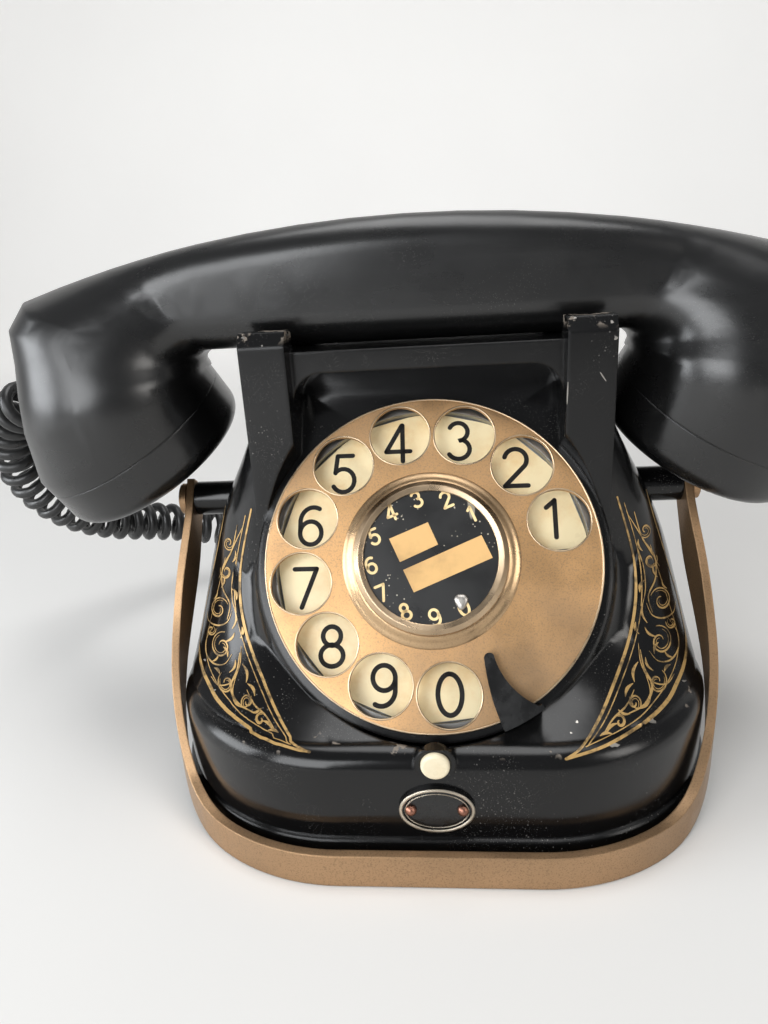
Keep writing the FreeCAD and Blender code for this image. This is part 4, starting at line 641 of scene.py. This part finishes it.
# From here on, sizes on the dial and the badge are in millimetres.
CASE_MIDDLE = 4.0
DIAL_CENTRE = mm(CASE_MIDDLE, -34, 62)
DIAL_RIGHT = Vector((1, 0, 0))
DIAL_UP = Vector((0, 0.5225, 0.8526))
DIAL_OUT = Vector((0, -0.8526, 0.5225))


def on_dial(across, up, out):
    """A point on the dial, in millimetres from the middle of the finger wheel's face."""
    return DIAL_CENTRE + (DIAL_RIGHT * across + DIAL_UP * up + DIAL_OUT * out) * MM


def write_figure(mesh, figure, across, up, out, height, width, lean=0.0):
    """Draws one figure round a place on the dial, turned by lean degrees."""
    turn = math.radians(lean)
    for stroke in FIGURES[figure]:
        places = []
        for x, y in stroke:
            x = (x - FIGURE_MIDDLE[0]) * height
            y = (y - FIGURE_MIDDLE[1]) * height
            places.append(on_dial(across + x * math.cos(turn) - y * math.sin(turn),
                                  up + x * math.sin(turn) + y * math.cos(turn), out))
        ribbon(mesh, places, [DIAL_OUT] * len(places), [width * MM] * len(places))


# The finger holes, and the card and figures behind them. Angles are in degrees.
HOLE_RING = 30.7
HOLE_RADIUS = 7.2
HOLE_FIRST = 15.7
HOLE_STEP = 28.96
HOLE_FIGURES = "1234567890"
PLATE_LEVEL = -5.5
CARD_LEVEL = PLATE_LEVEL + 0.12
CARD_THICK = 0.1
INK_LEVEL = PLATE_LEVEL + 0.16
FIGURE_FIRST = 18.6
FIGURE_STEP = 28.65
FIGURE_HEIGHT = 9.2
FIGURE_STROKE = 1.12


def hole_angle(index):
    return math.radians(HOLE_FIRST + HOLE_STEP * index)


def figure_angle(index):
    """The number plate sits a little further round than the holes."""
    return math.radians(FIGURE_FIRST + FIGURE_STEP * index)


CARD_EDGE = 36.4
CARD_LIMIT = 36.75
CARD_INNER = 19.0
CARD_STEPS = 12


def make_number_card():
    """A cream card with one straight edge at each figure, lying on the number plate."""
    mesh = bmesh.new()
    tops = []
    for step in range(CARD_STEPS * len(HOLE_FIGURES) + 1):
        share = step / CARD_STEPS - 0.5
        angle = figure_angle(share)
        nearest = figure_angle(min(max(round(share), 0), len(HOLE_FIGURES) - 1))
        reach = min(CARD_EDGE / math.cos(angle - nearest), CARD_LIMIT)
        tops.append([mesh.verts.new(on_dial(r * math.cos(angle), r * math.sin(angle), CARD_LEVEL))
                     for r in (CARD_INNER, reach)])
    for a, b in zip(tops, tops[1:]):
        mesh.faces.new((a[0], a[1], b[1], b[0]))
    grown = bmesh.ops.extrude_face_region(mesh, geom=list(mesh.faces))
    low = [item for item in grown["geom"] if isinstance(item, bmesh.types.BMVert)]
    bmesh.ops.translate(mesh, verts=low, vec=DIAL_OUT * -CARD_THICK * MM)
    return finished("number_card", mesh, CREAM, "base")


def make_plate_figures():
    mesh = bmesh.new()
    for index, figure in enumerate(HOLE_FIGURES):
        angle = figure_angle(index)
        write_figure(mesh, figure, HOLE_RING * math.cos(angle), HOLE_RING * math.sin(angle),
                     INK_LEVEL, FIGURE_HEIGHT, FIGURE_STROKE)
    return finished("plate_figures", mesh, INK, "base")


def ring(mesh, across, up, out, radius, thick, around=48):
    """A round wire ring lying on the dial."""
    def place(angle, grow, lift):
        reach = radius + grow
        return on_dial(across + reach * math.cos(angle), up + reach * math.sin(angle), out + lift)

    revolve(mesh, around, wire_section(thick), place, closed=True)


# The paler metal rim of each hole and of the wheel, a painted edge highlight that is partly rubbed wear:
# its wire's half width, its level on the wheel's face, and how far it lies off the hole's or the wheel's
# edge.
HOLE_RIM = 0.24
HOLE_RIM_LEVEL = -0.12
HOLE_RIM_OFF = 0.1
WHEEL_RADIUS = 39.0
WHEEL_RIM = 0.26
WHEEL_RIM_LEVEL = -0.15
WHEEL_RIM_OFF = -0.22
WHEEL_RIM_AROUND = 120


def make_hole_rims():
    mesh = bmesh.new()
    for index in range(len(HOLE_FIGURES)):
        angle = hole_angle(index)
        ring(mesh, HOLE_RING * math.cos(angle), HOLE_RING * math.sin(angle), HOLE_RIM_LEVEL,
             HOLE_RADIUS + HOLE_RIM_OFF, HOLE_RIM)
    return finished("hole_rims", mesh, RIM_HIGHLIGHT_METAL, "dial")


def make_wheel_edge():
    """A paler metal ring on the finger wheel's edge: a painted edge highlight, partly rubbed wear."""
    mesh = bmesh.new()
    ring(mesh, 0, 0, WHEEL_RIM_LEVEL, WHEEL_RADIUS + WHEEL_RIM_OFF, WHEEL_RIM, WHEEL_RIM_AROUND)
    return finished("wheel_edge", mesh, RIM_HIGHLIGHT_METAL, "dial")


# The flange's section: distance from the axis and height over the wheel's face.
FLANGE = [(20.6, 0.02), (20.3, 0.35), (19.7, 0.5), (18.9, 0.9), (18.2, 1.6), (17.6, 1.7)]
FLANGE_AROUND = 96


def make_hub_flange():
    """A shallow dished flange where the centre hub meets the finger wheel."""
    def place(angle, reach, lift):
        return on_dial(reach * math.cos(angle), reach * math.sin(angle), lift)

    mesh = bmesh.new()
    revolve(mesh, FLANGE_AROUND, FLANGE, place)
    return finished("hub_flange", mesh, HUB_METAL, "dial")


make_number_card()
make_plate_figures()
make_hole_rims()
make_wheel_edge()
make_hub_flange()


# The label in the middle of the dial: two bare paper fields, a ring of small figures and a pin.

LABEL_LEVEL = 3.4
FIELD_TOP = LABEL_LEVEL + 0.08
FIELD_FOOT = LABEL_LEVEL + 0.02
PRINT_LEVEL = LABEL_LEVEL + 0.06
LABEL_RING = 13.6
LABEL_FIRST = 45.0
LABEL_STEP = 28.5
LABEL_LEAN = 22.0
LABEL_HEIGHT = 3.5
LABEL_STROKE = 0.62
UPPER_FIELD = [(-9.3, 4.3), (-0.4, 7.9), (1.8, 2.7), (-6.9, -1.1)]
LOWER_FIELD = [(-6.2, -2.9), (11.6, 4.6), (13.9, -0.6), (-3.9, -8.0)]


def make_label_fields():
    mesh = bmesh.new()
    for field in (UPPER_FIELD, LOWER_FIELD):
        tops = [mesh.verts.new(on_dial(across, up, FIELD_TOP)) for across, up in field]
        lows = [mesh.verts.new(on_dial(across, up, FIELD_FOOT)) for across, up in field]
        mesh.faces.new(tops)
        for index in range(len(field)):
            other = (index + 1) % len(field)
            mesh.faces.new((tops[index], lows[index], lows[other], tops[other]))
    return finished("label_fields", mesh, LABEL_FIELD, "dial")


def make_label_figures():
    mesh = bmesh.new()
    for index, figure in enumerate(HOLE_FIGURES):
        angle = math.radians(LABEL_FIRST + LABEL_STEP * index)
        write_figure(mesh, figure, LABEL_RING * math.cos(angle), LABEL_RING * math.sin(angle),
                     PRINT_LEVEL, LABEL_HEIGHT, LABEL_STROKE, LABEL_LEAN)
    return finished("label_figures", mesh, LABEL_PRINT, "dial")


# The pin's head: its place, its section as distance from its middle and height over the label, how far its
# outline waves in and out, and how much higher than wide it is.
PIN_PLACE = (6.6, -10.2)
PIN_SECTION = [(1.5, 0.02), (1.45, 0.25), (1.1, 0.5), (0.5, 0.65)]
PIN_WAVE = 0.12
PIN_WAVES = 3
PIN_STRETCH = 1.2
PIN_AROUND = 20


def make_label_pin():
    """A domed pin head that holds the label, a little out of round."""
    def place(angle, reach, lift):
        wide = reach * (1 + PIN_WAVE * math.sin(PIN_WAVES * angle))
        return on_dial(PIN_PLACE[0] + wide * math.cos(angle),
                       PIN_PLACE[1] + PIN_STRETCH * wide * math.sin(angle), LABEL_LEVEL + lift)

    mesh = bmesh.new()
    loops = revolve(mesh, PIN_AROUND, PIN_SECTION, place)
    mesh.faces.new([loop[-1] for loop in loops])
    return finished("label_pin", mesh, BARE_METAL, "dial")


make_label_fields()
make_label_figures()
make_label_pin()


# The badge: a bare black oval inside two thin pale rings.

BADGE_FACE = -62.9
BADGE_HEIGHT = 16.0
# Each ring's half width and half height, and its wire's half width.
BADGE_RINGS = [(7.75, 5.35, 0.4), (6.75, 4.4, 0.14)]
BADGE_AROUND = 64
BADGE_FLATNESS = 0.5


def badge_ring(mesh, half_wide, half_high, thick):
    """A flattened oval ring on the badge's face."""
    def place(angle, grow, lift):
        return mm(CASE_MIDDLE + (half_wide + grow) * math.cos(angle), BADGE_FACE - BADGE_FLATNESS * lift,
                  BADGE_HEIGHT + (half_high + grow) * math.sin(angle))

    revolve(mesh, BADGE_AROUND, wire_section(thick), place, closed=True)


def make_badge_rings():
    mesh = bmesh.new()
    for sizes in BADGE_RINGS:
        badge_ring(mesh, *sizes)
    return finished("badge_rings", mesh, BADGE_RIM, "base")


make_badge_rings()


# Gold ornament and wear on the case, laid on its surface and placed in photograph pixels. The ornament is
# drawn for the right-hand panel and mirrored to the left.

SKIN_LIFT = 0.1 * MM
SKIN_DISTANCE = 200 * MM
TAPER_POWER = 1.5


def case_skin():
    """The case's faces, for finding places on them."""
    data = nodes["case"].data
    points = [vertex.co.copy() for vertex in data.vertices]
    return BVHTree.FromPolygons(points, [tuple(face.vertices) for face in data.polygons])


CASE_SKIN = case_skin()


def on_skin(pixel):
    """The place on the case that a photograph pixel shows, with the skin's normal."""
    across = pixel[0] - IMAGE_SIZE[0] / 2
    below = pixel[1] - IMAGE_SIZE[1] / 2
    ray = (EYE_FORWARD * FOCAL_PIXELS + EYE_RIGHT * across + EYE_DOWN * below).normalized()
    place, normal, _, _ = CASE_SKIN.ray_cast(EYE, ray)
    if place is None:
        place, normal, _, _ = CASE_SKIN.find_nearest(EYE + ray * SKIN_DISTANCE)
    return place, normal


# The left panel lies a little turned against the right one: its front end is higher.
LEFT_TILT = -0.075
LEFT_TILT_FROM = -26.75 * MM


def mirrored(place):
    """The same place on the other flank, set back on the skin."""
    rise = LEFT_TILT * (place.y - LEFT_TILT_FROM)
    other = Vector((2 * CASE_MIDDLE * MM - place.x, place.y, place.z + rise))
    place, normal, _, _ = CASE_SKIN.find_nearest(other)
    return place, normal


def smooth(points, steps=10):
    """A smooth line through a few points."""
    line = []
    padded = [points[0]] + list(points) + [points[-1]]
    for a, b, c, d in zip(padded, padded[1:], padded[2:], padded[3:]):
        for step in range(steps):
            t = step / steps
            line.append(tuple(
                0.5 * (2 * q + (r - p) * t + (2 * p - 5 * q + 4 * r - s) * t ** 2
                       + (3 * q - p - 3 * r + s) * t ** 3)
                for p, q, r, s in zip(a, b, c, d)))
    line.append(tuple(points[-1]))
    return line


def lay_stroke(mesh, pixels, width, taper=0.0, both=True):
    """Lays a stroke on the case, thinner towards its ends by taper, and on the other flank too."""
    last = len(pixels) - 1
    widths = [width * MM * (1 - taper * abs(2 * k / last - 1) ** TAPER_POWER) for k in range(last + 1)]
    right = [on_skin(pixel) for pixel in pixels]
    sides = [right]
    if both:
        sides.append([mirrored(place) for place, _ in right])
    for side in sides:
        normals = [normal for _, normal in side]
        ribbon(mesh, [place + normal * SKIN_LIFT for place, normal in side], normals, widths)


SCROLL_STEP = 14
SCROLL_LEAST_STEPS = 8
SCROLL_TIGHTNESS = 0.75
SCROLL_NARROWING = 0.8
LEAF_STEPS = 8
LEAF_BOW = 0.16


def scroll(u, v, size, start, sweep):
    """A scroll that winds inward from its rim, in pixels and degrees."""
    pixels = []
    steps = max(SCROLL_LEAST_STEPS, int(abs(sweep) / SCROLL_STEP))
    for step in range(steps + 1):
        share = step / steps
        angle = math.radians(start + sweep * share)
        reach = size * (1 - SCROLL_TIGHTNESS * share)
        pixels.append((u + SCROLL_NARROWING * reach * math.cos(angle), v + reach * math.sin(angle)))
    return pixels


def leaf(u, v, length, angle):
    """A short bowed stroke, in pixels and degrees."""
    turn = math.radians(angle)
    pixels = []
    for step in range(LEAF_STEPS + 1):
        share = step / LEAF_STEPS
        along_it = length * (share - 0.5)
        bow = length * LEAF_BOW * math.sin(math.pi * share)
        pixels.append((u + along_it * math.cos(turn) - bow * math.sin(turn),
                       v + along_it * math.sin(turn) + bow * math.cos(turn)))
    return pixels


OUTER_LINE = [(646, 490), (652, 512), (667, 561), (676, 592), (683, 622), (686, 642), (684, 663),
              (677, 682), (667, 701), (649, 719), (624, 736), (598, 749), (566, 759)]
OUTER_HAIRLINE = [(650, 545), (665, 592), (675, 624), (678, 642), (676, 661), (668, 681), (656, 699),
                  (640, 717), (617, 732), (586, 747)]
INNER_LINE = [(617, 497), (629, 538), (635, 570), (635, 605), (628, 642), (614, 683), (599, 719),
              (582, 747), (566, 759)]
INNER_HAIRLINE = [(624, 503), (635, 540), (641, 572), (641, 606), (634, 644), (620, 685), (605, 720),
                  (588, 746)]
UPPER_VINE = [(634, 512), (642, 538), (654, 556), (655, 578), (648, 596), (652, 612)]
LOWER_VINE = [(640, 650), (644, 668), (652, 686), (645, 704), (628, 714)]
# Bowed stems between the scrolls.
STEMS = [[(646, 603), (652, 615), (663, 618), (673, 612), (675, 601)],
         [(667, 617), (677, 632), (678, 648), (670, 660), (658, 661), (649, 651)],
         [(638, 643), (641, 664), (651, 681), (666, 684), (674, 674)],
         [(643, 668), (650, 690), (647, 705), (635, 708), (629, 697)],
         [(634, 690), (626, 706), (613, 719), (603, 735)],
         [(636, 545), (643, 566), (645, 590), (640, 612)],
         [(628, 515), (638, 531), (648, 548), (659, 566)]]
# Each scroll: its middle, size, first angle and sweep.
SCROLLS = [(661, 600, 14, 200, 420), (645, 530, 8, 120, -360), (660, 641, 16, 250, 440),
           (657, 682, 13, 300, 400), (634, 703, 9, 30, -390), (620, 722, 8, 210, 370),
           (650, 560, 9, 330, 380), (671, 622, 7, 180, -340)]
# Each leaf: its middle, length and angle.
LEAVES = [(645, 612, 22, 80), (650, 632, 14, 40), (656, 648, 12, 110), (636, 672, 20, 100),
          (629, 690, 15, 120), (649, 664, 15, 60), (667, 668, 9, 130), (624, 712, 12, 20),
          (612, 728, 14, 140), (606, 735, 12, 170), (655, 570, 14, 75), (664, 584, 10, 60),
          (640, 545, 12, 70), (668, 654, 10, 40), (642, 586, 13, 110), (637, 628, 12, 75)]
# Each flake: its middle and size.
FLAKES = [(652, 721, 5.0), (614, 745, 5.5), (684, 681, 2.5), (577, 722, 2.2), (571, 733, 1.6),
          (205, 660, 2.0), (189, 668, 2.0), (215, 690, 1.5), (616, 338, 3.0), (612, 322, 2.6),
          (575, 318, 2.0), (243, 338, 2.2), (287, 335, 2.4), (262, 346, 1.6)]
SCRATCHES = [[(568, 382), (567, 404)], [(566, 412), (565, 436)], [(600, 372), (606, 381)]]
# Each stroke's width in millimetres, and how much of it is lost towards the ends.
OUTER_STROKE = (0.95, 0.4)
INNER_STROKE = (0.75, 0.4)
HAIRLINE_STROKE = (0.25, 0.0)
VINE_STROKE = (0.6, 0.6)
SCROLL_STROKE = (0.5, 0.5)
ECHO_STROKE = (0.24, 0.6)
STEM_STROKE = (0.42, 0.7)
LEAF_STROKE = (0.75, 0.75)
SCRATCH_STROKE = (0.3, 0.7)
# A thin scroll inside each scroll: its share of the size and sweep, and its turn in degrees.
ECHO_SIZE = 0.76
ECHO_SWEEP = 0.75
ECHO_TURN = 30


def make_ornament():
    mesh = bmesh.new()
    lay_stroke(mesh, smooth(OUTER_LINE), *OUTER_STROKE)
    lay_stroke(mesh, smooth(INNER_LINE), *INNER_STROKE)
    for line in (OUTER_HAIRLINE, INNER_HAIRLINE):
        lay_stroke(mesh, smooth(line), *HAIRLINE_STROKE)
    for vine in (UPPER_VINE, LOWER_VINE):
        lay_stroke(mesh, smooth(vine), *VINE_STROKE)
    for u, v, size, start, sweep in SCROLLS:
        lay_stroke(mesh, scroll(u, v, size, start, sweep), *SCROLL_STROKE)
        echo = scroll(u, v, ECHO_SIZE * size, start + ECHO_TURN, ECHO_SWEEP * sweep)
        lay_stroke(mesh, echo, *ECHO_STROKE)
    for stem in STEMS:
        lay_stroke(mesh, smooth(stem), *STEM_STROKE)
    for u, v, length, angle in LEAVES:
        lay_stroke(mesh, leaf(u, v, length, angle), *LEAF_STROKE)
    return finished("gold_ornament", mesh, GOLD, "base")


make_ornament()


FLAKE_POINTS = 9
FLAKE_FLATNESS = 0.7
FLAKE_LIFT = 0.6 * SKIN_LIFT


def flake_reach(size, angle, u, v):
    """How far a flake's ragged rim lies from its middle, in pixels; no two flakes are alike."""
    return size * (0.75 + 0.35 * math.sin(5 * angle + u) * math.cos(2 * angle + v))


def make_chips():
    """Places where the lacquer has gone: flakes on edges, and scratches."""
    mesh = bmesh.new()
    for u, v, size in FLAKES:
        rim = []
        for step in range(FLAKE_POINTS):
            angle = 2 * math.pi * step / FLAKE_POINTS
            reach = flake_reach(size, angle, u, v)
            pixel = (u + reach * math.cos(angle), v + FLAKE_FLATNESS * reach * math.sin(angle))
            place, normal = on_skin(pixel)
            rim.append(mesh.verts.new(place + normal * FLAKE_LIFT))
        mesh.faces.new(rim)
    for line in SCRATCHES:
        lay_stroke(mesh, smooth(line), *SCRATCH_STROKE, both=False)
    return finished("lacquer_chips", mesh, BARE_METAL, "base")


make_chips()


# Stage: a pale floor that curves up into a backdrop, soft lamps and an even sky, in metres.

STAGE_HALF_WIDTH = 3.0
STAGE_FRONT = -2.0
STAGE_BACK = 1.0
STAGE_BEND = 0.5
STAGE_TOP = 3.0
BEND_STEPS = 12
PAPER_TONES = ((0.78, 0.77, 0.75), (0.75, 0.74, 0.72))
GLOW_COLOUR = (1.0, 0.99, 0.97)
GLOW_FROM, GLOW_TO = 0.15, 1.1
GLOW_STRENGTH = 0.45


def floor_paper():
    """Pale paper, with a glow towards the back that is only seen, directly and in reflections."""
    f = Finish("floor_paper")
    tone = f.range(f.noise(3, 3), 0.3, 0.7)
    f.set(Base_Color=f.mix(tone, *PAPER_TONES), Roughness=0.7)
    rays = f.tree.nodes.new("ShaderNodeLightPath").outputs
    seen = f.math("MAXIMUM", rays["Is Camera Ray"], rays["Is Glossy Ray"])
    seen = f.math("MAXIMUM", seen, rays["Is Transmission Ray"])
    glow = f.range(f.axis("Y"), GLOW_FROM, GLOW_TO, 0.0, GLOW_STRENGTH)
    f.set(Emission_Color=GLOW_COLOUR, Emission_Strength=f.math("MULTIPLY", seen, glow))
    return f.material


def make_stage():
    profile = [(STAGE_FRONT, 0.0), (STAGE_BACK, 0.0)]
    for step in range(1, BEND_STEPS + 1):
        angle = math.pi / 2 * step / BEND_STEPS
        profile.append((STAGE_BACK + STAGE_BEND * math.sin(angle), STAGE_BEND * (1 - math.cos(angle))))
    profile.append((STAGE_BACK + STAGE_BEND, STAGE_TOP))
    mesh = bmesh.new()
    rows = [[mesh.verts.new((side * STAGE_HALF_WIDTH, y, z)) for side in (-1, 1)] for y, z in profile]
    for a, b in zip(rows, rows[1:]):
        mesh.faces.new((a[0], a[1], b[1], b[0])).smooth = True
    floor = as_object("pale_floor", mesh, floor_paper())


# Each lamp: its place, width and height, power and colour. All point at the telephone's middle.
LAMPS = {
    "window": ((-0.46, -0.88, 0.44), (0.6, 0.6), 7.2, (0.96, 0.98, 1.0)),
    "left_side": ((-0.85, -0.26, 0.3), (0.5, 0.45), 5.5, (0.94, 0.97, 1.0)),
    "right_fill": ((0.8, -0.55, 0.5), (0.3, 0.5), 2.6, (1.0, 0.97, 0.93)),
    "top": ((0.05, 0.05, 1.1), (0.8, 0.5), 4.9, (1.0, 1.0, 1.0)),
}
LAMP_AIM = Vector((0, 0, 0.08))
SKY_COLOUR = (0.95, 0.97, 1.0, 1.0)
SKY_STRENGTH = 0.24


def make_lamp(name, place, size, power, colour):
    data = bpy.data.lights.new(name, "AREA")
    data.shape = "RECTANGLE"
    data.size, data.size_y = size
    data.energy = power
    data.color = colour
    lamp = link(bpy.data.objects.new(name, data))
    lamp.location = place
    lamp.rotation_euler = (LAMP_AIM - Vector(place)).to_track_quat("-Z", "Y").to_euler()


def make_sky():
    world = bpy.data.worlds.new("even_sky")
    world.use_nodes = True
    background = world.node_tree.nodes["Background"].inputs
    background["Color"].default_value = SKY_COLOUR
    background["Strength"].default_value = SKY_STRENGTH
    scene.world = world


make_stage()
for lamp_name, facts in LAMPS.items():
    make_lamp(lamp_name, *facts)
make_sky()
